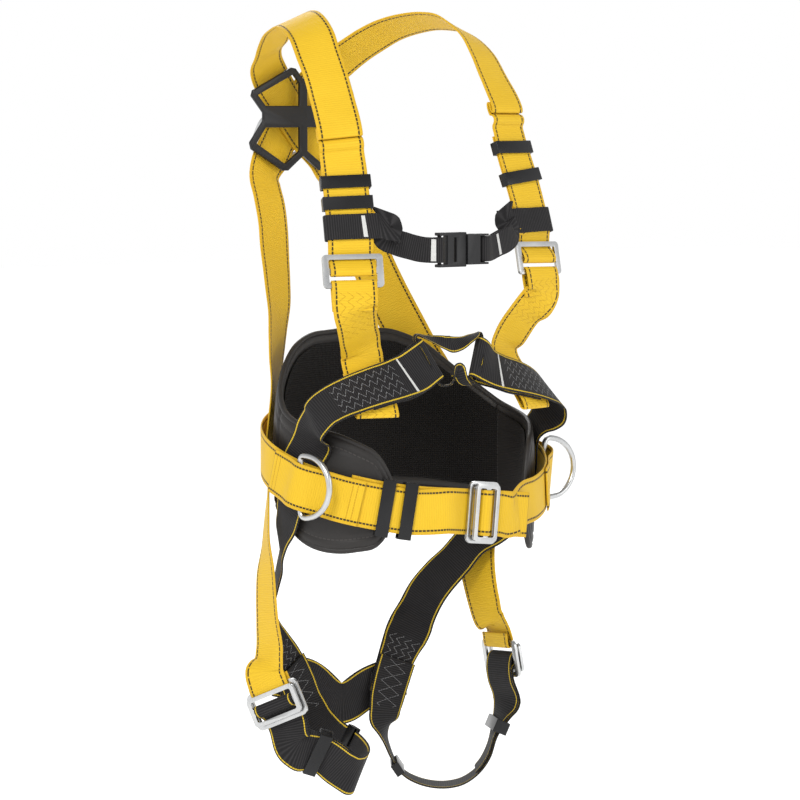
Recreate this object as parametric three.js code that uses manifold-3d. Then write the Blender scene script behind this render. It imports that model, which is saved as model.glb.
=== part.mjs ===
// Full-body fall-arrest harness with a padded work-positioning belt, as it hangs on a wearer.
// Millimetres, +Z up, the wearer faces -Y, the wearer's right is -X.
// The origin is the wearer's body axis at belt height.
import * as THREE from "three";
import { mergeVertices } from "three/addons/utils/BufferGeometryUtils.js";
import Module from "manifold-3d";

const wasm = await Module();
wasm.setup();

// ---- overall sizes
const TORSO_WIDTH = 320;
const TORSO_DEPTH = 224;
const SHOULDER_HEIGHT = 464;
const LEG_DROP = 323;
// ---- webbing
const WEB_WIDTH = 45;
const WEB_THICK = 1.8;
const LAYER_GAP = 0.6;
const CHEST_WEB_WIDTH = 25;
const CHEST_WEB_THICK = 1.5;
const RING_SPACING = 24;
const RING_TURN = 13;
// ---- heights of the fittings
const ADJUSTER_HEIGHT_RIGHT = 214;
const ADJUSTER_HEIGHT_LEFT = 221;
const CHEST_HEIGHT = 258;
const FOLD_HEIGHT_RIGHT = 342;
const FOLD_HEIGHT_LEFT = 365;
const KEEPER_HEIGHTS_RIGHT = [300, 281];
const KEEPER_HEIGHTS_LEFT = [331, 302];
const DORSAL_HEIGHT = 362;
const DORSAL_BACK = 155;
const BUCKLE_DROP_RIGHT = 214;
const BUCKLE_DROP_LEFT = 192;
// ---- belt
const BELT_CENTRE_Y = -8;
const BELT_TILT = 0.36;
const BELT_LEVEL_Y = -43;
const BELT_LIFT = 3;
const PAD_THICK = 10;
const LINING_THICK = 1.6;
const PIPING = 2.2;
const PAD_CLEAR = 12.5;
const UNDER_BELT = 6.8;
const UNDER_BELT_SIDE = 8.8;
// ---- hardware
const PLATE_THICK = 3;
const BAR = 5;
const SLOT = 9;
const FRAME_SIDE = 6;
const D_ROD = 4;
const DORSAL_THICK = 4;
const DORSAL_D_REST = 42;
const SIDE_D_ROD = 3;
const SIDE_D_DEPTH = 40;
const SIDE_D_HEIGHT = 62;
const DORSAL_D_WIDTH = 86;
const DORSAL_D_DROP = 64;
const KEEPER_LENGTH = 13;
const KEEPER_WALL = 1.6;
const CLEAR = 0.6;
const CHEST_BUCKLE_LENGTH = 62;
const CHEST_BUCKLE_HEIGHT = 34;
const CHEST_BUCKLE_THICK = 12;

// The stations below are drawn for this figure and scaled to the overall sizes.
const DRAWN_WIDTH = 320;
const DRAWN_DEPTH = 224;
const DRAWN_UP = 464;
const DRAWN_DOWN = 323;
const PITCH = WEB_THICK + LAYER_GAP;
const WRAP = WEB_THICK / 2 + LAYER_GAP;

const group = new THREE.Group();
group.name = "safety_harness";

const MATERIALS = {
  yellow_web: { color: 0xf4c81c, roughness: 0.8, metalness: 0 },
  black_web: { color: 0x1c1c1e, roughness: 0.85, metalness: 0 },
  steel: { color: 0xc8ccd0, roughness: 0.3, metalness: 1 },
  plastic: { color: 0x141416, roughness: 0.5, metalness: 0 },
  pad_cover: { color: 0x232122, roughness: 0.7, metalness: 0 },
  pad_lining: { color: 0x0e0e10, roughness: 0.9, metalness: 0 },
};

function add(name, geometry, material) {
  const settings = MATERIALS[material];
  const mesh = new THREE.Mesh(geometry, new THREE.MeshStandardMaterial(settings));
  mesh.name = name;
  group.add(mesh);
  return mesh;
}

// ---- geometry helpers
function vec(x, y, z) {
  return new THREE.Vector3(x, y, z);
}

function place(x, y, z) {
  const rise = z > 0 ? (z * SHOULDER_HEIGHT) / DRAWN_UP : (z * LEG_DROP) / DRAWN_DOWN;
  return vec((x * TORSO_WIDTH) / DRAWN_WIDTH, (y * TORSO_DEPTH) / DRAWN_DEPTH, rise);
}

function station(x, y, z, nx, ny, nz) {
  return { p: place(x, y, z), n: vec(nx, ny, nz).normalize() };
}

// Stations given for the wearer's left; side -1 mirrors them to the right.
function sided(side, rows) {
  return rows.map(([x, y, z, nx, ny, nz]) => station(side * x, y, z, side * nx, ny, nz));
}

function makeFrame(o, t, n) {
  const along = t.clone().normalize();
  const width = n.clone().cross(along).normalize();
  const out = along.clone().cross(width).normalize();
  return { o: o.clone(), t: along, w: width, n: out };
}

function at(frame, a, b, c) {
  return frame.o
    .clone()
    .addScaledVector(frame.t, a)
    .addScaledVector(frame.w, b)
    .addScaledVector(frame.n, c);
}

// A folded run drawn in the t-n plane of a frame as [along, out] pairs.
// Its face normal keeps to the given side of the run: 1 left, -1 right.
function folded(frame, pairs, turn) {
  return pairs.map(([a, c], i) => {
    const [a0, c0] = pairs[Math.max(i - 1, 0)];
    const [a1, c1] = pairs[Math.min(i + 1, pairs.length - 1)];
    const da = a1 - a0;
    const dc = c1 - c0;
    const n = frame.t
      .clone()
      .multiplyScalar(-dc * turn)
      .addScaledVector(frame.n, da * turn)
      .normalize();
    return { p: at(frame, a, 0, c), n };
  });
}

// Fine samples of a run through its stations: position, direction, width direction, face normal.
function trace(stations, closed = false) {
  const curve = new THREE.CatmullRomCurve3(
    stations.map((s) => s.p),
    closed,
    "centripetal",
  );
  const spans = closed ? stations.length : stations.length - 1;
  const steps = 10;
  const samples = [];
  for (let i = 0; i < spans * steps + (closed ? 0 : 1); i++) {
    const u = i / (spans * steps);
    const k = Math.min(Math.floor(i / steps), spans - 1);
    const f = i / steps - k;
    const n0 = stations[k].n;
    const n1 = stations[(k + 1) % stations.length].n;
    const blend = f * f * (3 - 2 * f);
    const n = n0.clone().lerp(n1, blend).normalize();
    const t = curve.getTangent(u).normalize();
    const frame = makeFrame(curve.getPoint(u), t, n);
    const wide0 = stations[k].wide;
    const wide1 = stations[(k + 1) % stations.length].wide;
    if (wide0) frame.wide = wide0 + (wide1 - wide0) * blend;
    samples.push(frame);
  }
  return samples;
}

// The samples worth a ring of vertices: enough for the bends, few on the straights.
function thinned(samples, closed = false) {
  const kept = [samples[0]];
  for (let i = 1; i < samples.length; i++) {
    const last = kept[kept.length - 1];
    const s = samples[i];
    const end = i === samples.length - 1 && !closed;
    const turn = THREE.MathUtils.radToDeg(
      Math.max(s.t.angleTo(last.t), s.n.angleTo(last.n)),
    );
    const far = s.o.distanceTo(last.o);
    if (end) {
      if (far < 0.8 && kept.length > 1) kept.pop();
      kept.push(s);
    } else if (far > RING_SPACING || (turn > RING_TURN && far > 0.5)) kept.push(s);
  }
  return kept;
}

function solidFromRings(rings, closed = false) {
  const points = [];
  const index = [];
  const m = rings[0].length;
  rings.forEach((ring) => ring.forEach((p) => points.push(p.x, p.y, p.z)));
  const spans = closed ? rings.length : rings.length - 1;
  for (let i = 0; i < spans; i++) {
    const i1 = (i + 1) % rings.length;
    for (let j = 0; j < m; j++) {
      const j1 = (j + 1) % m;
      const a = i * m + j;
      const b = i * m + j1;
      const c = i1 * m + j1;
      const d = i1 * m + j;
      // Facing walls are split along the same diagonal, so a twisted run keeps its thickness.
      if (j < m / 2) index.push(a, b, c, a, c, d);
      else index.push(a, b, d, b, c, d);
    }
  }
  if (!closed) {
    const last = (rings.length - 1) * m;
    for (let j = 1; j < m - 1; j++) {
      index.push(0, j + 1, j);
      index.push(last, last + j, last + j + 1);
    }
  }
  const geometry = new THREE.BufferGeometry();
  geometry.setAttribute("position", new THREE.Float32BufferAttribute(points, 3));
  geometry.setIndex(index);
  return volumeOf(geometry) < 0 ? flipped(geometry) : geometry;
}

function volumeOf(geometry) {
  const p = geometry.attributes.position;
  const idx = geometry.index.array;
  const a = vec(0, 0, 0);
  const b = vec(0, 0, 0);
  const c = vec(0, 0, 0);
  let total = 0;
  for (let i = 0; i < idx.length; i += 3) {
    a.fromBufferAttribute(p, idx[i]);
    b.fromBufferAttribute(p, idx[i + 1]);
    c.fromBufferAttribute(p, idx[i + 2]);
    total += a.dot(b.cross(c));
  }
  return total / 6;
}

function flipped(geometry) {
  const idx = geometry.index.array;
  const turned = [];
  for (let i = 0; i < idx.length; i += 3) turned.push(idx[i], idx[i + 2], idx[i + 1]);
  geometry.setIndex(turned);
  return geometry;
}

function ribbonGeometry(samples, width, thick, closed = false) {
  const rings = thinned(samples, closed).map((s) => {
    const half = (s.wide || width) / 2;
    return [
      at(s, 0, -half, -thick / 2),
      at(s, 0, half, -thick / 2),
      at(s, 0, half, thick / 2),
      at(s, 0, -half, thick / 2),
    ];
  });
  return solidFromRings(rings, closed);
}

function ribbon(name, stations, material, options = {}) {
  const { width = WEB_WIDTH, thick = WEB_THICK, closed = false } = options;
  const samples = trace(stations, closed);
  add(name, ribbonGeometry(samples, width, thick, closed), material);
  return samples;
}

// The sample of a run nearest a height, looked for between two shares of the run.
function whereHeight(samples, height, from = 0, to = 1) {
  let best = samples[0];
  let gap = Infinity;
  samples.forEach((s, i) => {
    const share = i / (samples.length - 1);
    const d = Math.abs(s.o.z - height);
    if (share >= from && share <= to && d < gap) {
      gap = d;
      best = s;
    }
  });
  return best;
}

function shifted(frame, a, b, c) {
  return { o: at(frame, a, b, c), t: frame.t, w: frame.w, n: frame.n };
}

function roundedRect(target, cx, cy, lx, ly, r) {
  const x0 = cx - lx / 2;
  const x1 = cx + lx / 2;
  const y0 = cy - ly / 2;
  const y1 = cy + ly / 2;
  target.moveTo(x0 + r, y0);
  target.lineTo(x1 - r, y0);
  target.absarc(x1 - r, y0 + r, r, -Math.PI / 2, 0, false);
  target.lineTo(x1, y1 - r);
  target.absarc(x1 - r, y1 - r, r, 0, Math.PI / 2, false);
  target.lineTo(x0 + r, y1);
  target.absarc(x0 + r, y1 - r, r, Math.PI / 2, Math.PI, false);
  target.lineTo(x0, y0 + r);
  target.absarc(x0 + r, y0 + r, r, Math.PI, Math.PI * 1.5, false);
  return target;
}

function frameMatrix(frame) {
  const m = new THREE.Matrix4().makeBasis(frame.t, frame.w, frame.n);
  return m.setPosition(frame.o);
}

// A flat plate with openings, drawn along-across a frame and centred on it through its thickness.
function plate(frame, outline, holes, thick, segments = 3) {
  const shape = roundedRect(new THREE.Shape(), ...outline);
  holes.forEach((h) => shape.holes.push(roundedRect(new THREE.Path(), ...h)));
  const geometry = new THREE.ExtrudeGeometry(shape, {
    depth: thick,
    bevelEnabled: false,
    curveSegments: segments,
  });
  geometry.translate(0, 0, -thick / 2);
  return geometry.applyMatrix4(frameMatrix(frame));
}

function toManifold(geometry) {
  const source = geometry.index ? geometry.toNonIndexed() : geometry;
  const bare = new THREE.BufferGeometry();
  bare.setAttribute("position", source.getAttribute("position"));
  const merged = mergeVertices(bare, 1e-4);
  return new wasm.Manifold(
    new wasm.Mesh({
      numProp: 3,
      vertProperties: new Float32Array(merged.attributes.position.array),
      triVerts: new Uint32Array(merged.index.array),
    }),
  );
}

function fromManifold(solid) {
  const m = solid.getMesh();
  const points = [];
  for (let i = 0; i < m.numVert; i++) {
    for (let k = 0; k < 3; k++) points.push(m.vertProperties[i * m.numProp + k]);
  }
  const geometry = new THREE.BufferGeometry();
  geometry.setAttribute("position", new THREE.Float32BufferAttribute(points, 3));
  geometry.setIndex([...m.triVerts]);
  return geometry;
}

function joined(parts, cuts = []) {
  let solid = toManifold(parts[0]);
  parts.slice(1).forEach((g) => {
    solid = solid.add(toManifold(g));
  });
  cuts.forEach((g) => {
    solid = solid.subtract(toManifold(g));
  });
  return fromManifold(solid);
}

function block(frame, a, b, c, la, lb, lc) {
  const g = new THREE.BoxGeometry(la, lb, lc);
  return g.translate(a, b, c).applyMatrix4(frameMatrix(frame));
}

// A closed rod with flats front and back, its run drawn along-across a frame.
function closedRod(frame, corners, radius) {
  const sides = 8;
  const m = corners.length;
  const rings = corners.map(([a, b], i) => {
    const [a0, b0] = corners[(i + m - 1) % m];
    const [a1, b1] = corners[(i + 1) % m];
    const da = (a1 - a0) / 2;
    const db = (b1 - b0) / 2;
    const size = Math.hypot(da, db);
    const ring = [];
    for (let k = 0; k < sides; k++) {
      const angle = ((k + 0.5) / sides) * Math.PI * 2;
      const reach = radius / Math.cos(Math.PI / sides);
      const out = Math.cos(angle) * reach;
      ring.push(at(frame, a + (db / size) * out, b - (da / size) * out, Math.sin(angle) * reach));
    }
    return ring;
  });
  return solidFromRings(rings, true);
}

function dShape(depth, height, corner, arc) {
  const run = [];
  const half = height / 2;
  for (let i = 0; i <= 4; i++) run.push([0, -half + corner + ((height - 2 * corner) * i) / 4]);
  for (let i = 1; i <= 3; i++) {
    const q = (i / 3) * (Math.PI / 2);
    run.push([corner - corner * Math.cos(q), half - corner + corner * Math.sin(q)]);
  }
  const reach = depth - corner;
  for (let i = 1; i < arc; i++) {
    const q = Math.PI / 2 - (i / arc) * Math.PI;
    run.push([corner + reach * Math.cos(q), half * Math.sin(q)]);
  }
  for (let i = 1; i <= 3; i++) {
    const q = (i / 3) * (Math.PI / 2);
    run.push([corner - corner * Math.sin(q), -half + corner - corner * Math.cos(q)]);
  }
  run.pop();
  return run;
}

// ---- the belt's line and the pad's surfaces
const BELT_A = DRAWN_WIDTH / 2;
const BELT_B = DRAWN_DEPTH / 2;

function beltHeight(y) {
  return BELT_LIFT + (y - BELT_LEVEL_Y) * BELT_TILT;
}

// A belt station at an angle from the back centre, towards the wearer's left when positive.
function beltStation(degrees, out = 0) {
  const q = THREE.MathUtils.degToRad(degrees);
  const x = BELT_A * Math.sin(q);
  const y = BELT_CENTRE_Y + BELT_B * Math.cos(q);
  const n = vec(Math.sin(q) / BELT_A, Math.cos(q) / BELT_B, 0).normalize();
  const p = place(x, y, beltHeight(y));
  return { p: p.addScaledVector(n, out), n };
}

// ---- adjusters and the main straps
// Front, shoulder and upper back of a main strap, then the opposite side down to the leg buckle.
const frontRows = {
  "-1": [
    [117, -65, 246, 0.45, -0.89, 0.18],
    [113, -54, 288, 0.46, -0.88, 0.2],
    [109, -43, 322, 0.48, -0.86, 0.22],
  ],
  1: [
    [120, -66, 250, 0.08, -0.98, 0.16],
    [118, -55, 288, 0.06, -0.98, 0.2],
    [114, -44, 322, 0.06, -0.97, 0.22],
  ],
};
const shoulderRows = [
  [108, -28, 378, 0.34, -0.9, 0.3],
  [107, -15, 402, 0.36, -0.84, 0.4],
  [105, 1, 426, 0.4, -0.7, 0.55],
  [100, 19, 446, 0.42, -0.42, 0.78],
  [93, 45, 458, 0.38, 0, 0.92],
  [81, 77, 457, 0.32, 0.3, 0.88],
  [69, 108, 448, 0.26, 0.55, 0.78],
  [57, 132, 433, 0.2, 0.8, 0.56],
  [47, 156, 417, 0.12, 0.94, 0.3],
];
const backRows = {
  "-1": [
    [46, 159.5, 306, 0.07, 0.99, 0.1],
    [53, 139, 264, 0.12, 0.98, 0.12],
    [61, 124, 222, 0.14, 0.98, 0.12],
    [70, 108, 184, 0.22, 0.96, 0.1],
    [81, 95, 152, 0.4, 0.9, 0.05],
    [94, 82, 118, 0.56, 0.83, 0],
    [107, 66.5, 84, 0.66, 0.75, 0],
  ],
  1: [
    [46, 159.5, 306, 0.07, 0.99, 0.1],
    [53, 139, 264, 0.28, 0.95, 0.12],
    [61, 124, 222, 0.38, 0.92, 0.12],
    [70, 108, 184, 0.46, 0.88, 0.1],
    [81, 95, 152, 0.55, 0.83, 0.05],
    [94, 82, 118, 0.6, 0.8, 0],
    [107, 66.5, 84, 0.66, 0.75, 0],
  ],
};
const thighRows = {
  "-1": [
    [133, 45, -12, 0.8, 0.6, 0],
    [142, 37, -50, 0.86, 0.5, 0],
    [148, 30, -88, 0.96, 0.28, 0],
    [149, 27, -126, 0.97, 0.18, 0],
    [152, 20, -168, 1, 0.02, 0],
  ],
  1: [
    [135, 44, -12, 0.8, 0.6, 0],
    [137, 41, -47, 0.83, 0.56, 0],
    [128, 31, -88, 0.94, 0.32, 0],
    [126, 21, -120, 0.99, 0.12, 0.05],
    [131, 14, -152, 0.97, 0.1, 0.2],
  ],
};
const buckleSpot = {
  "-1": [151, 8, -BUCKLE_DROP_RIGHT, 0.94, -0.35, 0],
  1: [142, 8, -BUCKLE_DROP_LEFT, 0.92, -0.1, 0.38],
};
// Where the leg strap comes from on its way up to the buckle.
const legEntry = { "-1": [116, -21, -265], 1: [137, 10, -268] };
const sideName = { "-1": "right", 1: "left" };
const other = (side) => -side;

const legBuckle = {};
const adjuster = {};
const mainRun = {};
[-1, 1].forEach((side) => {
  const [x, y, z, nx, ny, nz] = buckleSpot[side];
  const above = sided(side, [thighRows[side][4]])[0];
  const here = sided(side, [[x, y, z, nx, ny, nz]])[0];
  const below = place(side * legEntry[side][0], legEntry[side][1], legEntry[side][2]);
  const up = above.p.clone().sub(here.p).normalize();
  const pull = here.p.clone().sub(below).normalize();
  legBuckle[side] = makeFrame(here.p, up.add(pull.multiplyScalar(0.6)), here.n);
  const first = sided(side, [frontRows[side][0]])[0];
  const height = side < 0 ? ADJUSTER_HEIGHT_RIGHT : ADJUSTER_HEIGHT_LEFT;
  const low = place(side * 120, -72, height);
  adjuster[side] = makeFrame(low, first.p.clone().sub(low), first.n);
});

const barReach = BAR / 2 + WRAP + 0.4;
const faceReach = PLATE_THICK / 2 + WRAP + 0.3;
const barPitch = BAR + SLOT;

[-1, 1].forEach((side) => {
  const adj = adjuster[side];
  const keepers = side < 0 ? KEEPER_HEIGHTS_RIGHT : KEEPER_HEIGHTS_LEFT;
  const tailTop = (keepers[0] * SHOULDER_HEIGHT) / DRAWN_UP + KEEPER_LENGTH;
  // The tail's end, down behind the strap, round the centre bar and up behind the top bar.
  const pairs = [
    [30, -PITCH],
    [22, -PITCH - 1.1],
    [barPitch, -faceReach - PITCH - 0.1],
    [6, -faceReach - 1.4],
    [0, -faceReach],
    [-barReach * 0.75, -faceReach * 0.72],
    [-barReach, 0],
    [-barReach * 0.75, faceReach * 0.72],
    [0, faceReach],
    [barReach * 0.9, faceReach * 0.6],
    [barPitch * 0.55, -0.2],
    [barPitch - 3, -faceReach + 0.7],
    [barPitch, -faceReach],
    [19, -faceReach + 0.6],
    [26, -0.4],
  ];
  const lower = folded(adj, pairs, 1);
  const front = sided(side, frontRows[side]);
  // The tail follows the front stations one layer further in.
  const shoulder = shoulderRows.map(([x, y, z, nx, ny, nz], i) => {
    const ease = side > 0 && i < 4 ? 1 - i / 5 : 0;
    return [x + 6 * ease, y, z, nx - 0.28 * ease, ny, nz];
  });
  const foldTop = sided(side, [shoulder[side < 0 ? 0 : 1]])[0];
  const straight = trace([...front, foldTop]);
  const tip = whereHeight(straight, tailTop);
  const behind = front.filter((s) => s.p.z < tip.o.z - 8).reverse();
  const tail = [{ p: tip.o, n: tip.n }, ...behind].map((s) => ({
    p: s.p.clone().addScaledVector(s.n, -PITCH),
    n: s.n.clone().negate(),
  }));
  // Two folded lobes, stitched flat, that open when the harness has taken a fall.
  const foldLow = front[2];
  const foldHeight = side < 0 ? FOLD_HEIGHT_RIGHT : FOLD_HEIGHT_LEFT;
  const share = (foldHeight * SHOULDER_HEIGHT) / DRAWN_UP;
  const f = (share - foldLow.p.z) / (foldTop.p.z - foldLow.p.z);
  const centre = foldLow.p.clone().lerp(foldTop.p, f);
  const lobe = makeFrame(
    centre,
    foldTop.p.clone().sub(foldLow.p),
    foldLow.n.clone().lerp(foldTop.n, f),
  );
  const up = PITCH + 0.5;
  const lobes = folded(
    lobe,
    [
      [-17, 0.1],
      [-13, 0.6],
      [-10.5, 3.2],
      [-6.5, 4.6],
      [-2.6, 3],
      [-1.2, 0.4],
      [4, 0],
      [9.5, 0.1],
      [11.2, up * 0.5],
      [9.5, up * 0.95],
      [5, up],
      [1.8, up * 1.05],
      [0.2, up * 1.5],
      [1.8, up * 1.95],
      [6, up * 2],
      [13, up * 1.8],
      [20, up * 0.9],
    ],
    1,
  );
  const cross = side < 0 ? 0 : PITCH + 0.2;
  const lean = side * 29;
  const barOut = DORSAL_THICK / 2 + CLEAR + D_ROD * 2.18 + WRAP + 0.3;
  const overPlate = [
    [1.02, 35, barOut * 0.86, 0.12],
    [0.72, 25, barOut, 0],
    [0, 0, barOut, 0],
    [-0.5, -17.5, barOut, 0],
    [-0.76, -26, barOut * 0.72, -0.1],
    [-1.02, -35, barOut * 0.55, -0.05],
  ].map(([across, up0, out, tilt]) => ({
    p: place(lean * across, 0, DORSAL_HEIGHT).add(
      vec(0, (DORSAL_BACK * TORSO_DEPTH) / DRAWN_DEPTH + out + cross, up0),
    ),
    n: vec(0, 1, tilt).normalize(),
  }));
  const far = other(side);
  const back = sided(far, backRows[far]);
  const belted = [beltStation(far * 50, -UNDER_BELT), beltStation(far * 56, -UNDER_BELT)];
  belted[1].p.z -= 26;
  belted[0].p.z -= 2;
  const thigh = sided(far, thighRows[far]);
  const buckle = legBuckle[far];
  const ends = folded(
    buckle,
    [
      [34, 0.6],
      [24, faceReach * 0.8],
      [17, faceReach],
      [11.5 + 0.2, faceReach * 0.8],
      [17 - barReach - 0.1, 0],
      [12.2, -faceReach * 0.8],
      [17, -faceReach],
      [27, -faceReach * 0.95],
    ],
    -1,
  );
  const stations = [
    ...tail,
    ...lower,
    ...front,
    ...lobes,
    ...sided(side, shoulder.slice(side < 0 ? 1 : 2)),
    ...overPlate,
    ...back,
    ...belted,
    ...thigh,
    ...ends,
  ];
  mainRun[side] = ribbon("main_strap_" + sideName[side], stations, "yellow_web");
});


// ---- pass-through buckles: a sewn frame, and a smaller one lying over it that adjusts
const femaleBar = 16.5;
const maleLift = 6.2;
function passBuckle(frame, outerName, innerName) {
  const opening = 2 * (femaleBar - BAR / 2);
  const tall = WEB_WIDTH + 4;
  const outline = [0, 0, opening + 2 * BAR, tall + 2 * FRAME_SIDE, 6];
  const outer = plate(frame, outline, [[0, 0, opening, tall, 2.5]], PLATE_THICK, 4);
  add(outerName, outer, "steel");
  const raised = shifted(frame, 0, 0, maleLift);
  const slot = 8;
  const reach = (BAR + slot) / 2;
  const holes = [
    [reach, 0, slot, tall - 1, 2],
    [-reach, 0, slot, tall - 1, 2],
  ];
  const span = BAR + 2 * slot + 9;
  const inner = plate(raised, [0, 0, span, tall + 8, 5], holes, PLATE_THICK, 4);
  add(innerName, inner, "steel");
}

// The adjustable webbing: behind the outer frame's bar, through both, over the inner bar, back.
function adjustableEnd(frame, tail = false) {
  const over = maleLift + faceReach;
  return folded(
    frame,
    [
      [-44, 0],
      [-34, -0.8],
      [-femaleBar - 8, -faceReach + 0.4],
      [-femaleBar, -faceReach - 0.1],
      [-femaleBar + 6.5, -2],
      [-6.2, 2.2],
      [-5.2, maleLift],
      [-3, over - 0.8],
      [0, over],
      [3, over - 0.8],
      [5, maleLift],
      [4.8, 2.6],
      [2.4, -0.8],
      [-3.5, -3.4],
      [-femaleBar + 4, -faceReach - PITCH + 0.2],
      [-femaleBar - 2, -faceReach - PITCH - 0.3],
      [-femaleBar - 9, -faceReach - PITCH + 0.3],
      ...(tail ? [[-34, -0.9 - PITCH]] : []),
    ],
    1,
  );
}

// ---- hip straps: doubled in front, under the belt at the side, then behind the thigh
const ventralRows = [
  [56, -83, 112, 0.08, -0.85, 0.52],
  [84, -81, 105, 0.16, -0.78, 0.6],
  [111, -77, 98, 0.24, -0.72, 0.65],
  [133, -71, 90, 0.4, -0.62, 0.67],
  [150, -63, 80, 0.6, -0.45, 0.65],
  [155, -55, 68, 0.84, -0.25, 0.48],
];
// Between the pad and the belt: angle round the belt and height over its middle.
const UNDER_ROWS = [
  [108, 45],
  [103, 27],
  [97, 5],
];
const hipRows = {
  "-1": [
    [150, -7, -26, 0.98, 0.15, 0],
    [142, 14.5, -50.5, 0.86, 0.42, 0],
    [126, 33, -76, 0.8, 0.6, 0],
    [117, 56, -110, 0.77, 0.64, 0],
    [106, 72, -146, 0.74, 0.68, 0],
    [88, 83, -174, 0.4, 0.9, 0.1],
    [70, 87, -198, 0.1, 0.99, 0.08],
    [58, 87, -224, 0, 1, 0],
  ],
  1: [
    [150.3, -7, -27, 0.97, 0.2, 0],
    [140, 12, -52, 0.84, 0.36, -0.25],
    [118, 26, -71, 0.76, 0.3, -0.55],
    [101, 39, -96, 0.78, 0.3, -0.5],
    [88, 56, -119, 0.86, 0.4, -0.3],
    [81, 67, -142, 0.85, 0.42, -0.3],
    [74, 76, -166, 0.55, 0.8, -0.15],
    [66, 82, -188, 0.14, 0.98, 0.02],
    [59, 84, -208, 0.1, 0.99, 0.02],
    [53, 86, -230, 0.08, 0.99, 0.02],
  ],
};
const hipRun = {};
const VENTRAL_END = 32;
const CONNECTOR_LOOP = 5;
[-1, 1].forEach((side) => {
  const name = sideName[side];
  const front = sided(side, ventralRows);
  const fold = place(side * VENTRAL_END, -81, 124);
  const loop = makeFrame(fold, front[0].p.clone().sub(fold), vec(side * 0.02, -1, 0.28));
  // The inner layer's end, towards the middle, round the connector and back as the outer layer.
  const bend = folded(
    loop,
    [
      [15, -CONNECTOR_LOOP + 0.9],
      [8, -CONNECTOR_LOOP],
      [1, -CONNECTOR_LOOP - 0.2],
      [-4, -CONNECTOR_LOOP * 0.5],
      [-5, 0.2],
      [-3.6, 2.4],
      [1, 3.2],
      [8, 2.6],
      [16, 1],
    ],
    1,
  );
  const inside = front
    .slice(0, 3)
    .reverse()
    .map((s) => ({ p: s.p.clone().addScaledVector(s.n, -PITCH - 0.6), n: s.n.clone().negate() }));
  const under = UNDER_ROWS.map(([angle, rise]) => {
    const s = beltStation(side * angle, -UNDER_BELT_SIDE);
    s.p.z += rise;
    return s;
  });
  const stations = [...inside, ...bend, ...front, ...under, ...sided(side, hipRows[side])];
  hipRun[side] = ribbon("hip_strap_" + name, stations, "black_web");
});

// ---- the short ring that joins the two front loops: up through one and down through the other
const CONNECTOR_WIDTH = 19;
{
  const loop = place(VENTRAL_END, -81, 124);
  const gapWidth = 4;
  const x = loop.x + 1.2;
  const y = loop.y + 0.9;
  const z = loop.z;
  const high = WEB_WIDTH / 2 + 2.6;
  const spot = (px, py, pz, nx, ny, nz, wide) => ({
    p: vec(px + Math.sign(px) * (pz - z) * 0.47, py + (pz - z) * 0.29, pz),
    n: vec(nx, ny, nz).normalize(),
    wide,
  });
  const ring = [];
  [1, -1].forEach((side) => {
    const run = [
      spot(0, y - 4, z + side * 13 + 2, 0, -0.9, side * 0.45, CONNECTOR_WIDTH),
      spot(side * x * 0.5, y - 3, z + side * (high - 4), 0, -0.6, side * 0.8, 11),
      spot(side * (x - 4), y - 0.6, z + side * high, side * 0.3, -0.1, side, gapWidth + 1),
      spot(side * (x + 0.4), y, z + side * (high - 4), side, 0, side * 0.3, gapWidth),
      spot(side * x, y, z, side, 0, 0, gapWidth),
      spot(side * (x + 0.4), y, z - side * (high - 4), side, 0, -side * 0.3, gapWidth),
      spot(side * (x - 4), y - 0.6, z - side * high, side * 0.3, -0.1, -side, gapWidth + 1),
      spot(side * x * 0.5, y - 3, z - side * (high - 4), 0, -0.6, -side * 0.8, 11),
    ];
    ring.push(...run);
  });
  ribbon("ventral_connector", ring, "black_web", { closed: true });
}

// ---- lower front straps: round the adjuster's low bar above, round the hip strap below
const lowerRun = {};
[-1, 1].forEach((side) => {
  const adj = adjuster[side];
  const b = -barPitch;
  const top = folded(
    adj,
    [
      [b - 25, -PITCH - 0.3],
      [b - 12, -faceReach + 0.2],
      [b, -faceReach],
      [b + barReach * 0.75, -faceReach * 0.72],
      [b + barReach, 0],
      [b + barReach * 0.75, faceReach * 0.72],
      [b, faceReach],
      [b - 10, faceReach - 0.8],
      [b - 22, 0.6],
    ],
    -1,
  );
  const [inward, outward] = sided(side, ventralRows.slice(1, 3));
  const hooked = {
    p: inward.p.lerp(outward.p, 0.6),
    n: inward.n.lerp(outward.n, 0.6).normalize(),
  };
  const target = hooked.p.clone().addScaledVector(hooked.n, -PITCH - 0.6);
  const upward = vec(0, 0, 1).addScaledVector(hooked.n, -hooked.n.z).normalize();
  const hook = makeFrame(target, upward, hooked.n);
  const reach = WEB_WIDTH / 2 + 3;
  const gap = PITCH + 0.5;
  // Down behind both layers of the hip strap, then folded under and back up.
  const end = folded(
    hook,
    [
      [reach + 16, gap * 0.5],
      [reach + 4, -gap - 0.8],
      [reach - 8, -gap - 0.3],
      [0, -gap],
      [-reach + 6, -gap - 0.3],
      [-reach, -gap - 1.2],
    ],
    -1,
  );
  const curl = folded(
    hook,
    [
      [-reach - 3.4, -gap - 3.4],
      [-reach, -gap - 6],
      [-reach + 6, -gap - 4.6],
      [0, -gap * 2 - 0.5],
      [reach - 2, -gap * 2 - 0.5],
    ],
    -1,
  );
  const start = top[top.length - 1].p;
  const finish = end[0].p;
  const slack = side < 0 ? 0 : -6;
  const between = (k) => ({
    p: start.clone().lerp(finish, k).addScaledVector(adj.n, -1).add(vec(slack * (1 - k), 0, 0)),
    n: top[top.length - 1].n.clone().lerp(end[0].n, k).normalize(),
  });
  const stations = [...top, between(0.35), between(0.7), ...end, ...curl];
  lowerRun[side] = ribbon("front_lower_strap_" + sideName[side], stations, "yellow_web");
});

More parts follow.
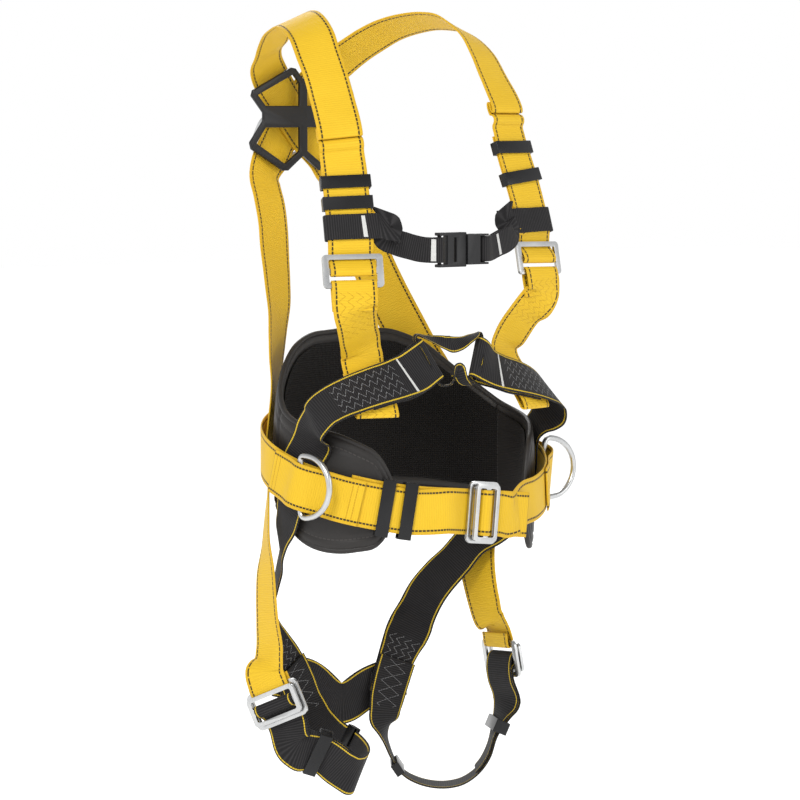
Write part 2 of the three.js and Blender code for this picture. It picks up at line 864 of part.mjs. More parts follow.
// ---- leg straps, from the junction behind the thigh to the leg buckle and its tail
const legRows = {
  "-1": [
    [53, 76, -246, -0.55, 0.8, -0.2],
    [48, 52, -264, -0.9, 0.3, -0.35],
    [51, 22, -272, -0.9, -0.2, -0.4],
    [61, -8, -279, -0.75, -0.5, -0.4],
    [74, -28, -284, -0.5, -0.75, -0.4],
    [86, -35, -286, 0.1, -0.92, -0.4],
    [98, -32, -281, 0.54, -0.68, -0.5],
    [116, -21, -265, 0.58, -0.64, -0.5],
  ],
  1: [
    [48, 83, -255, -0.2, 0.97, 0],
    [49, 83, -271, -0.66, 0.72, -0.2],
    [54, 80, -290, -0.66, 0.58, -0.45],
    [63, 73, -309, -0.45, 0.36, -0.8],
    [78, 60, -320, -0.2, 0.16, -0.96],
    [92, 48, -323, 0, 0, -1],
    [108, 35, -321, 0.2, -0.16, -0.96],
    [123, 23, -309, 0.5, -0.4, -0.76],
    [132, 15, -291, 0.72, -0.55, -0.4],
    [137, 10, -268, 0.8, -0.56, -0.1],
  ],
};
const JUNCTION_LAYER = PITCH + 1;
// The last stretch of a hip strap, moved off its face: negative towards the body.
function junctionRun(side, reaches, out) {
  const run = hipRun[side];
  const end = run[run.length - 1].o;
  return reaches.map((reach) => {
    let best = run[run.length - 1];
    run.forEach((s) => {
      const d = Math.abs(s.o.distanceTo(end) - reach);
      if (d < Math.abs(best.o.distanceTo(end) - reach)) best = s;
    });
    return { p: at(best, 0, 0, out), n: best.n };
  });
}
const legRun = {};
const legIncoming = {};
[-1, 1].forEach((side) => {
  const name = sideName[side];
  const buckle = legBuckle[side];
  const start = junctionRun(side, [38, 28, 19, 10, 1], -JUNCTION_LAYER);
  const rows = sided(side, legRows[side]);
  const up = adjustableEnd(buckle);
  const incoming = trace([...start, ...rows, ...up.slice(0, 4)]);
  const from = incoming.length - 1 - 30;
  const tail = [];
  for (let k = 0; k < 7; k++) {
    const s = incoming[from - k * 5];
    tail.push({ p: at(s, 0, 0, -PITCH - 0.4), n: s.n.clone().negate() });
  }
  legRun[side] = ribbon("leg_strap_" + name, [...start, ...rows, ...up, ...tail], "black_web");
  legIncoming[side] = incoming;
  passBuckle(buckle, "leg_buckle_outer_" + name, "leg_buckle_inner_" + name);
});

// ---- seat strap, behind the thighs
{
  const joint = (side) => {
    const [s] = junctionRun(side, [side < 0 ? 24 : 14], JUNCTION_LAYER + 0.7);
    const inward = vec(-side, 0, 0);
    inward.addScaledVector(s.n, -inward.dot(s.n)).normalize();
    const outer = { p: s.p.clone().addScaledVector(inward, -20), n: s.n };
    const inner = { p: s.p.clone().addScaledVector(inward, 26), n: s.n };
    outer.p.z += 5;
    inner.p.z -= 6;
    return [outer, s, inner];
  };
  const left = joint(1).reverse();
  const low = (joint(-1)[2].p.z + left[0].p.z) / 2 - 22;
  const back = (joint(-1)[2].p.y + left[0].p.y) / 2 + 1;
  const middle = { p: vec(-2, back, low), n: vec(0, 1, 0) };
  ribbon("seat_strap", [...joint(-1), middle, ...left], "black_web");
}

// ---- belt
const beltBuckle = makeFrame(
  beltStation(178.4).p.clone(),
  vec(1, 0, -0.1),
  vec(0, -1, 0),
);
const beltRun = (() => {
  const sewn = folded(
    beltBuckle,
    [
      [62, -PITCH - 0.6],
      [44, -PITCH],
      [30, -faceReach],
      [femaleBar, -faceReach],
      [femaleBar - barReach * 0.75, -faceReach * 0.72],
      [femaleBar - barReach, 0],
      [femaleBar - barReach * 0.75, faceReach * 0.72],
      [femaleBar, faceReach],
      [30, faceReach - 0.6],
      [42, 0.6],
    ],
    1,
  );
  const ring = [];
  for (let a = 156; a >= -160; a -= 8) ring.push(beltStation(a));
  const tail = [];
  for (let a = -158; a <= -126; a += 8) {
    const s = beltStation(a, -PITCH);
    tail.push({ p: s.p.add(vec(0, 0, 3)), n: s.n.negate() });
  }
  const near = adjustableEnd(beltBuckle, true);
  return ribbon("belt_strap", [...sewn, ...ring, ...near, ...tail], "yellow_web");
})();
passBuckle(beltBuckle, "belt_buckle_outer", "belt_buckle_inner");


// ---- an outer layer of the belt over each side D-ring's bar
const D_ANGLE = 105;
const dBarOut = WEB_THICK / 2 + LAYER_GAP + SIDE_D_ROD * 1.09;
const overBar = dBarOut + SIDE_D_ROD * 1.09 + WRAP + 0.8;
[-1, 1].forEach((side) => {
  const flat = PITCH + 0.8;
  const rows = [
    [86, flat],
    [92, flat],
    [97, flat + 1],
    [D_ANGLE - 4.6, overBar * 0.8],
    [D_ANGLE - 1.6, overBar],
    [D_ANGLE + 1.6, overBar],
    [D_ANGLE + 4.6, overBar * 0.8],
    [113, flat + 1],
    [118, flat],
    [125, flat],
    [132, flat],
  ];
  const stations = rows.map(([angle, out]) => beltStation(side * angle, out));
  ribbon("belt_loop_" + sideName[side], stations, "yellow_web");
});

// ---- side D-rings: the wearer's right one lies forward along the belt, the left one sticks out
const SIDE_D_SWING = { "-1": 14, 1: 110 };
[-1, 1].forEach((side) => {
  const spot = beltStation(side * D_ANGLE, dBarOut);
  const forward = beltStation(side * (D_ANGLE + 1)).p.sub(beltStation(side * (D_ANGLE - 1)).p);
  forward.z = 0;
  forward.normalize();
  const swing = THREE.MathUtils.degToRad(SIDE_D_SWING[side]);
  const t = forward.multiplyScalar(Math.cos(swing)).addScaledVector(spot.n, Math.sin(swing));
  const n = t.clone().cross(vec(0, 0, 1)).multiplyScalar(side);
  const frame = makeFrame(spot.p, t, n);
  const run = dShape(SIDE_D_DEPTH, SIDE_D_HEIGHT, 7, 8);
  add("side_d_ring_" + sideName[side], closedRod(frame, run, SIDE_D_ROD), "steel");
});

// ---- dorsal plate, with the D-ring's bar held between it and the crossed straps
{
  const outline = [
    [0, 38],
    [10, 49],
    [16, 50],
    [65, 27],
    [67, 21],
    [52, 4],
    [52, -4],
    [69, -26],
    [67, -33],
    [27, -55],
    [20, -55],
    [0, -40],
  ];
  const mirrored = outline
    .slice(1, -1)
    .reverse()
    .map(([x, z]) => [-x, z]);
  const windows = [
    [
      [5, 34],
      [13, 43],
      [59, 22],
      [49, 11],
      [5, 11],
    ],
    [
      [5, -11],
      [49, -11],
      [61, -27],
      [24, -48],
      [5, -35],
    ],
  ];
  const centre = place(0, DORSAL_BACK, DORSAL_HEIGHT);
  const m = new THREE.Matrix4().makeBasis(vec(-1, 0, 0), vec(0, 0, 1), vec(0, 1, 0));
  m.setPosition(centre);
  const prism = (points, thick) => {
    const shape = new THREE.Shape(points.map(([x, z]) => new THREE.Vector2(x, z)));
    const g = new THREE.ExtrudeGeometry(shape, { depth: thick, bevelEnabled: false });
    return g.translate(0, 0, -thick / 2).applyMatrix4(m);
  };
  const cuts = [];
  windows.forEach((w) => {
    cuts.push(prism(w, DORSAL_THICK * 3));
    cuts.push(
      prism(
        w.map(([x, z]) => [-x, z]),
        DORSAL_THICK * 3,
      ),
    );
  });
  const geometry = joined([prism([...outline, ...mirrored], DORSAL_THICK)], cuts);
  add("dorsal_plate", geometry, "plastic");

  const rest = THREE.MathUtils.degToRad(DORSAL_D_REST);
  const bar = centre.clone().add(vec(0, DORSAL_THICK / 2 + CLEAR + D_ROD * 1.09, 0));
  const t = vec(0, Math.sin(rest), -Math.cos(rest));
  const n = vec(0, Math.cos(rest), Math.sin(rest));
  const frame = makeFrame(bar, t, n);
  const run = dShape(DORSAL_D_DROP, DORSAL_D_WIDTH, 9, 10);
  add("dorsal_d_ring", closedRod(frame, run, D_ROD), "steel");
}

// ---- keepers
function keeper(name, frame, layers, room = 0, side = 0) {
  const low = -(layers - 1) * PITCH - WEB_THICK / 2 - CLEAR - room;
  const high = WEB_THICK / 2 + CLEAR + room;
  const mid = (low + high) / 2;
  const inside = WEB_WIDTH + 2 * CLEAR + 2 * side;
  const tall = high - low;
  const shell = block(frame, 0, 0, mid, KEEPER_LENGTH, inside + 2 * KEEPER_WALL, tall + 2 * KEEPER_WALL);
  const gap = block(frame, 0, 0, mid, KEEPER_LENGTH + 2, inside, tall);
  add(name, joined([shell], [gap]), "plastic");
}
[-1, 1].forEach((side) => {
  const heights = side < 0 ? KEEPER_HEIGHTS_RIGHT : KEEPER_HEIGHTS_LEFT;
  const front = mainRun[side];
  heights.forEach((h, i) => {
    const spot = whereHeight(front, (h * SHOULDER_HEIGHT) / DRAWN_UP, 0.12, 0.45);
    const word = ["upper", "lower"][i];
    keeper("shoulder_keeper_" + word + "_" + sideName[side], spot, 2, 0.4, 0.3);
  });
});

// Keepers on the belt's doubled front and on the leg loops.
function whereAngle(samples, degrees, layerIn) {
  const target = beltStation(degrees, -layerIn).p;
  let best = samples[0];
  samples.forEach((s) => {
    if (s.o.distanceTo(target) < best.o.distanceTo(target)) best = s;
  });
  return best;
}
keeper("belt_keeper_outer", whereAngle(beltRun, -142, 0), 2, 0.5, 3.2);
keeper("belt_keeper_inner", whereAngle(beltRun, -150, 0), 2, 0.5, 3.2);
function wherePoint(samples, x, y, z) {
  const target = place(x, y, z);
  let best = samples[0];
  samples.forEach((s) => {
    if (s.o.distanceTo(target) < best.o.distanceTo(target)) best = s;
  });
  return best;
}
keeper("leg_keeper_outer_right", wherePoint(legIncoming[-1], -119, -18, -260), 2, 1.4, 1.2);
keeper("leg_keeper_inner_right", wherePoint(legIncoming[-1], -50, 28, -273), 1, 0.9, 0.6);
keeper("leg_keeper_outer_left", wherePoint(legIncoming[1], 137, 10, -262), 2, 3.0, 2.6);
keeper("leg_keeper_inner_left", wherePoint(legIncoming[1], 60, 76, -304), 1, 1.3, 0.6);

// ---- chest strap and its buckle
const chestBuckle = makeFrame(place(0, -93, CHEST_HEIGHT - 25), vec(1, 0, 0), vec(0, -1, 0));
const CHEST_PITCH = CHEST_WEB_THICK + LAYER_GAP;
const chestBarAt = CHEST_BUCKLE_LENGTH / 2 - 3;
[-1, 1].forEach((side) => {
  const high = (CHEST_HEIGHT * SHOULDER_HEIGHT) / DRAWN_UP;
  const spot = whereHeight(mainRun[side], high, 0.12, 0.45);
  const along = spot.w.clone();
  if (along.x * side > 0) along.negate();
  const loop = makeFrame(spot.o, along, spot.n);
  const half = WEB_WIDTH / 2;
  const inward = WEB_THICK / 2 + LAYER_GAP + CHEST_WEB_THICK / 2 + 0.4;
  const behind = -PITCH - inward - 1.1;
  const sleeve = folded(
    loop,
    [
      [half + 22, -CHEST_PITCH - 0.9],
      [half + 10, behind * 0.95],
      [half - 2, behind - 0.6],
      [0, behind],
      [-half + 4, behind],
      [-half - 1.6, behind * 0.72],
      [-half - 2.4, behind * 0.3],
      [-half - 1.2, inward * 0.8],
      [-half + 4, inward + 0.3],
      [0, inward + 0.3],
      [half - 2, inward + 0.6],
      [half + 8, 2.2],
      [half + 18, 0.6],
    ],
    1,
  );
  const rows = [
    [84, -77, CHEST_HEIGHT - 11, 0.4, -0.9, 0],
    [64, -82, CHEST_HEIGHT - 19, 0.25, -0.96, 0],
    [47, -87, CHEST_HEIGHT - 24, 0.15, -1, 0],
  ];
  const bar = side * chestBarAt;
  const wrap = 1.6 + LAYER_GAP + CHEST_WEB_THICK / 2;
  const end = folded(
    { o: chestBuckle.o, t: vec(-side, 0, 0), w: chestBuckle.w, n: chestBuckle.n },
    [
      [-chestBarAt - 8, 1.4],
      [-chestBarAt - 3, wrap],
      [-chestBarAt, wrap + 0.3],
      [-chestBarAt + wrap * 0.8, wrap * 0.7],
      [-chestBarAt + wrap + 0.2, 0],
      [-chestBarAt + wrap * 0.8, -wrap * 0.7],
      [-chestBarAt, -wrap - 0.3],
      [-chestBarAt - 4, -wrap + 0.2],
      [-chestBarAt - 9, -CHEST_PITCH + 1.2],
    ],
    1,
  );
  const tail = sided(side, rows.slice(1))
    .reverse()
    .map((s) => ({ p: s.p.addScaledVector(s.n, -CHEST_PITCH - 0.3), n: s.n.negate() }));
  const run = [...sleeve, ...sided(side, rows), ...end, ...tail];
  ribbon("chest_strap_" + sideName[side], run, "black_web", {
    width: CHEST_WEB_WIDTH,
    thick: CHEST_WEB_THICK,
  });
});
{
  const tall = CHEST_BUCKLE_HEIGHT;
  const thick = CHEST_BUCKLE_THICK;
  const end = CHEST_BUCKLE_LENGTH / 2;
  const seam = 4;
  const slotTall = CHEST_WEB_WIDTH + 3;
  // Ladder half: a bar for the strap, a second slot, and a nose that enters the other half.
  const ladder = [
    block(chestBuckle, (-end + seam - 0.4) / 2, 0, 0, end + seam - 0.4, tall, 8),
    block(chestBuckle, seam + 6, 0, 0, 14, 7, 4.6),
  ];
  const ladderCuts = [
    block(chestBuckle, -chestBarAt + 1.6 + 3.1, 0, 0, 6.2, slotTall, 20),
    block(chestBuckle, -chestBarAt - 1.6 - 3, 0, 3.2, 6, slotTall, 20),
    block(chestBuckle, -10.5, 0, 0, 3.4, slotTall - 4, 20),
    block(chestBuckle, -end + 1.5, 0, 5.6, 9, slotTall, 8),
    block(chestBuckle, -end + 1.5, 0, -5.6, 9, slotTall, 8),
  ];
  add("chest_buckle_ladder", joined(ladder, ladderCuts), "plastic");
  // Socket half: a box open towards the other half, with a window on each side and a bar.
  const socket = [
    block(chestBuckle, (seam + end) / 2, 0, 0, end - seam, tall - 4, thick),
  ];
  const socketCuts = [
    block(chestBuckle, seam + 7.5, 0, 0, 17, tall - 9, 7),
    block(chestBuckle, seam + 9, (tall - 4) / 2, 0, 8, 6, 6),
    block(chestBuckle, seam + 9, -(tall - 4) / 2, 0, 8, 6, 6),
    block(chestBuckle, chestBarAt - 1.6 - 3.1, 0, 0, 6.2, slotTall - 2, 20),
    block(chestBuckle, chestBarAt + 1.6 + 3, 0, 0, 6, slotTall - 2, 20),
    block(chestBuckle, end - 2.5, 0, 5.6, 12, slotTall - 2, 8),
    block(chestBuckle, end - 2.5, 0, -5.6, 12, slotTall - 2, 8),
  ];
  add("chest_buckle_socket", joined(socket, socketCuts), "plastic");
  // Two sprung arms of the ladder half, latched in the socket's windows.
  [1, -1].forEach((up) => {
    const arm = [
      block(chestBuckle, seam + 7.2, up * 7.6, 0, 13.6, 3, 4.6),
      block(chestBuckle, seam + 9, up * 10.6, 0, 6.4, 4.2, 4.6),
    ];
    add("chest_prong_" + (up > 0 ? "upper" : "lower"), joined(arm), "plastic");
  });
}

// ---- back pad: a padded shell round the back and hips, its mesh lining and its piped edge
// Angle from the back centre, top edge and bottom edge.
const PAD_EDGE = [
  [0, 145, -12],
  [25, 142, -13],
  [40, 128, -15],
  [55, 104, -18],
  [70, 84, -21],
  [82, 70, -28],
  [95, 62, -45],
  [108, 57, -56],
  [124, 49, -58],
  [138, 33, -52],
  [146, 14, -38],
];
const PAD_REACH_RIGHT = 146;
const PAD_REACH_LEFT = 138;
const PAD_DROP_LEFT = 14;
function padEdge(degrees) {
  const reach = degrees < 0 ? PAD_REACH_RIGHT : PAD_REACH_LEFT;
  const last = PAD_EDGE[PAD_EDGE.length - 1][0];
  const a = Math.min((Math.abs(degrees) / reach) * last, last);
  let k = 0;
  while (k < PAD_EDGE.length - 2 && PAD_EDGE[k + 1][0] < a) k++;
  const [a0, t0, b0] = PAD_EDGE[k];
  const [a1, t1, b1] = PAD_EDGE[k + 1];
  const f = (a - a0) / (a1 - a0);
  const drop = degrees > 0 ? PAD_DROP_LEFT * Math.min(Math.max((a - 108) / 26, 0), 1) : 0;
  return [t0 + (t1 - t0) * f, b0 + (b1 - b0) * f - drop];
}
function padPoint(degrees, share, depth, beyond = 0) {
  const [top, bottom] = padEdge(degrees);
  const q = THREE.MathUtils.degToRad(degrees);
  const z = bottom - beyond + (top - bottom + 2 * beyond) * share;
  const leanIn = Math.max(z - 60, 0) * 0.07;
  const inset = PAD_CLEAR + depth + leanIn;
  const x = (BELT_A - inset) * Math.sin(q);
  const y = BELT_CENTRE_Y + (BELT_B - inset) * Math.cos(q);
  return place(x, y, z);
}
function padSteps(from, to, count) {
  return Array.from({ length: count + 1 }, (_, i) => from + ((to - from) * i) / count);
}
function curvedSlab(from, to, low, high, shallow, deep, columns, rows) {
  const rings = padSteps(from, to, columns).map((degrees, c) => {
    const tip = c === 0 || c === columns ? 0.28 : 0;
    const across = deep - shallow;
    const ring = [];
    for (let r = 0; r <= rows; r++) {
      const edge = r === 0 || r === rows ? 0.28 : 0;
      const pinch = Math.max(tip, edge) * across;
      ring.push(padPoint(degrees, low + ((high - low) * r) / rows, shallow + pinch));
    }
    for (let r = rows; r >= 0; r--) {
      const edge = r === 0 || r === rows ? 0.28 : 0;
      const pinch = Math.max(tip, edge) * across;
      ring.push(padPoint(degrees, low + ((high - low) * r) / rows, deep - pinch));
    }
    return ring;
  });
  return solidFromSlab(rings, rows);
}
function solidFromSlab(rings, rows) {
  const geometry = solidFromRings(rings);
  const m = rings[0].length;
  const idx = [...geometry.index.array].slice(0, (rings.length - 1) * m * 6);
  const flippedAlready = idx[1] > idx[2];
  const last = (rings.length - 1) * m;
  const quad = (o, a, b, c, d, turn) => {
    if (turn) idx.push(o + a, o + b, o + c, o + a, o + c, o + d);
    else idx.push(o + a, o + c, o + b, o + a, o + d, o + c);
  };
  for (let r = 0; r < rows; r++) {
    quad(0, r, r + 1, m - 2 - r, m - 1 - r, flippedAlready);
    quad(last, r, r + 1, m - 2 - r, m - 1 - r, !flippedAlready);
  }
  geometry.setIndex(idx);
  return geometry;
}
const padFrom = -PAD_REACH_RIGHT;
const padTo = PAD_REACH_LEFT;
const shellDeep = PAD_THICK - LINING_THICK - 0.5;
add("pad_shell", curvedSlab(padFrom, padTo, 0, 1, 0, shellDeep, 34, 5), "pad_cover");
add(
  "pad_lining",
  curvedSlab(padFrom + 14, padTo - 14, 0.06, 0.94, shellDeep + 0.5, PAD_THICK, 30, 5),
  "pad_lining",
);
{
  const out = PIPING + 2.3;
  const mid = shellDeep / 2;
  const angles = padSteps(padFrom, padTo, 40);
  const run = [];
  const share = (degrees, mm) => {
    const [top, bottom] = padEdge(degrees);
    return mm / (top - bottom);
  };
  angles.forEach((a) => run.push({ a, p: padPoint(a, 1 + share(a, out), mid) }));
  [0.9, 0.5, 0.1].forEach((h) =>
    run.push({ a: padTo, p: padPoint(padTo, h, mid), tip: 1 }),
  );
  [...angles].reverse().forEach((a) => run.push({ a, p: padPoint(a, -share(a, out), mid) }));
  [0.1, 0.5, 0.9].forEach((h) =>
    run.push({ a: padFrom, p: padPoint(padFrom, h, mid), tip: -1 }),
  );
  run.forEach((s) => {
    const q = THREE.MathUtils.degToRad(s.a);
    s.out = vec(Math.sin(q) / BELT_A, Math.cos(q) / BELT_B, 0).normalize();
    if (s.tip) s.p.add(vec(s.out.y, -s.out.x, 0).multiplyScalar(s.tip * out * 1.3));
  });
  const rings = run.map((s, i) => {
    const before = run[(i + run.length - 1) % run.length].p;
    const after = run[(i + 1) % run.length].p;
    const t = after.clone().sub(before).normalize();
    const f = makeFrame(s.p, t, s.out);
    return [0, 1, 2, 3, 4, 5].map((k) => {
      const angle = (k / 6) * Math.PI * 2;
      return at(f, 0, Math.cos(angle) * PIPING, Math.sin(angle) * PIPING);
    });
  });
  add("pad_piping", solidFromRings(rings, true), "pad_cover");
}

// ---- three-bar adjusters
[-1, 1].forEach((side) => {
  const width = WEB_WIDTH + 2 * CLEAR + 2;
  const outline = [0, 0, 2 * barPitch + BAR, width + 2 * FRAME_SIDE, 4];
  const holes = [
    [barPitch / 2, 0, SLOT, width, 1.5],
    [-barPitch / 2, 0, SLOT, width, 1.5],
  ];
  const geometry = plate(adjuster[side], outline, holes, PLATE_THICK);
  add("adjuster_" + sideName[side], geometry, "steel");
});

export default group;
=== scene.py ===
"""Looks of the safety harness: woven webbing, steel fittings, moulded plastic and a padded back rest."""

import itertools
import math

import bmesh
import bpy
import numpy as np
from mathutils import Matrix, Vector


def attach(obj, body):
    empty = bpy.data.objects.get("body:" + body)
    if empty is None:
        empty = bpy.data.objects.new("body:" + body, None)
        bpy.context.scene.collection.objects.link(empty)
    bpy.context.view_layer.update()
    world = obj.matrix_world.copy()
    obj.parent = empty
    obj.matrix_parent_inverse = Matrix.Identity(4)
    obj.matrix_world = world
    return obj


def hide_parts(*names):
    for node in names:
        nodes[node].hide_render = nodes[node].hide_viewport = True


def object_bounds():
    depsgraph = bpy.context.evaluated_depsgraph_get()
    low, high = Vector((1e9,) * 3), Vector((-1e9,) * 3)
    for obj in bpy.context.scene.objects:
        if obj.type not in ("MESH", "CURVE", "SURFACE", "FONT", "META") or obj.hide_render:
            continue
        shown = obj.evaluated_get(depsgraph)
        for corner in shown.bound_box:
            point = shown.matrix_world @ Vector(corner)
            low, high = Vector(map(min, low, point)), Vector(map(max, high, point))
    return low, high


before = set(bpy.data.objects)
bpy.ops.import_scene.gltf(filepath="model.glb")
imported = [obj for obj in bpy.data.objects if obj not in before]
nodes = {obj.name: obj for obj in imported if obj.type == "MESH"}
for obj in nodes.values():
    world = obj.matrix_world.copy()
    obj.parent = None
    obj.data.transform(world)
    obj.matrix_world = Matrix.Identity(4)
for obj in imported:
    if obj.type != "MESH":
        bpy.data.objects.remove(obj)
cad_box = [list(corner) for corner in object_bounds()]
MM = 0.001
WEB = "webbing"
WEB_WIDTH = 45.0
CHEST_WIDTH = 25.0
LINK_WIDTH = 24.0
WEB_THICK = 0.0018
CHEST_THICK = 0.0015
SAME_POINT = 2e-6
bpy.ops.object.select_all(action="DESELECT")

# ---- camera
EYE = Vector((-2.8214, -3.3624, 0.3869))
LOOK = Vector((0.6412, 0.7642, -0.0698))
camera_data = bpy.data.cameras.new("camera")
camera = bpy.data.objects.new("camera", camera_data)
bpy.context.scene.collection.objects.link(camera)
camera.location = EYE
camera.rotation_euler = LOOK.to_track_quat("-Z", "Y").to_euler()
camera_data.sensor_width = 36
camera_data.lens = 198
camera_data.clip_end = 50
bpy.context.scene.camera = camera
bpy.context.scene.view_settings.view_transform = "Standard"


# ---- shader arithmetic
class Line:
    """A value in a material's node tree, with arithmetic that adds Math nodes."""

    def __init__(self, tree, source):
        self.tree = tree
        self.source = source

    def into(self, socket):
        if isinstance(self.source, (int, float)):
            socket.default_value = self.source
        else:
            self.tree.links.new(self.source, socket)

    def math(self, operation, *others):
        node = self.tree.nodes.new("ShaderNodeMath")
        node.operation = operation
        for socket, value in zip(node.inputs, (self, *others)):
            if isinstance(value, Line):
                value.into(socket)
            else:
                socket.default_value = value
        return Line(self.tree, node.outputs[0])

    def lift(self, value):
        return value if isinstance(value, Line) else Line(self.tree, float(value))

    def __add__(self, other):
        return self.math("ADD", other)

    __radd__ = __add__

    def __mul__(self, other):
        return self.math("MULTIPLY", other)

    __rmul__ = __mul__

    def __sub__(self, other):
        return self.math("SUBTRACT", other)

    def __rsub__(self, other):
        return self.lift(other).math("SUBTRACT", self)

    def __truediv__(self, other):
        return self.math("DIVIDE", other)

    def __rtruediv__(self, other):
        return self.lift(other).math("DIVIDE", self)

    def below(self, limit):
        return self.math("LESS_THAN", limit)

    def above(self, limit):
        return self.math("GREATER_THAN", limit)

    def between(self, low, high):
        return self.above(low) * self.below(high)

    def either(self, other):
        return self.math("MAXIMUM", other)

    def zigzag(self, period, reach):
        """A triangle wave from -reach to reach."""
        wave = (self / period).math("FRACT") - 0.5
        return (wave.math("ABSOLUTE") - 0.25) * (4.0 * reach)

    def dashes(self, period, share):
        """One for the first share of each period, nothing for the rest of it."""
        return (self / period).math("FRACT").below(share)


class Finish:
    """A material built up from its own nodes."""

    def __init__(self, name):
        self.material = bpy.data.materials.new(name)
        self.material.use_nodes = True
        self.tree = self.material.node_tree
        self.shader = self.tree.nodes["Principled BSDF"]

    def node(self, kind, **inputs):
        made = self.tree.nodes.new(kind)
        for key, value in inputs.items():
            name = key.replace("_", " ")
            if name in made.inputs:
                if isinstance(value, Line):
                    value.into(made.inputs[name])
                elif isinstance(value, bpy.types.NodeSocket):
                    self.tree.links.new(value, made.inputs[name])
                else:
                    made.inputs[name].default_value = value
            else:
                setattr(made, key, value)
        return made

    def line(self, source):
        return Line(self.tree, source)

    def place(self):
        return self.node("ShaderNodeTexCoord").outputs["Object"]

    def noise(self, scale, detail=3.0, roughness=0.5, vector=None):
        made = self.node(
            "ShaderNodeTexNoise",
            Scale=scale,
            Detail=detail,
            Roughness=roughness,
            Vector=vector or self.place(),
        )
        return self.line(made.outputs[0])

    def mix(self, share, first, second):
        made = self.tree.nodes.new("ShaderNodeMix")
        made.data_type = "RGBA"
        self.line(0.0).lift(share).into(made.inputs[0])
        for socket, value in ((made.inputs[6], first), (made.inputs[7], second)):
            if isinstance(value, bpy.types.NodeSocket):
                self.tree.links.new(value, socket)
            else:
                socket.default_value = (*value, 1.0)
        return made.outputs[2]

    def colour(self, socket):
        self.tree.links.new(socket, self.shader.inputs["Base Color"])

    def rough(self, line):
        line.into(self.shader.inputs["Roughness"])

    def relief(self, height, distance, strength=1.0):
        bump = self.node("ShaderNodeBump", Distance=distance, Strength=strength)
        height.into(bump.inputs["Height"])
        self.tree.links.new(bump.outputs[0], self.shader.inputs["Normal"])

    def plain(self, **inputs):
        for key, value in inputs.items():
            self.shader.inputs[key.replace("_", " ")].default_value = value


YELLOW = (0.70, 0.435, 0.006)
YELLOW_DEEP = (0.53, 0.29, 0.003)
YELLOW_PALE = (0.78, 0.54, 0.035)
CHARCOAL = (0.0055, 0.0052, 0.0055)
CHARCOAL_WORN = (0.015, 0.0142, 0.015)
CHARCOAL_RIB_SHEEN = (0.042, 0.040, 0.041)
THREAD_DARK = (0.012, 0.009, 0.006)
THREAD_WHITE = (0.62, 0.62, 0.60)
THREAD_GREY = (0.22, 0.22, 0.225)
THREAD_GOLD = (0.62, 0.43, 0.03)


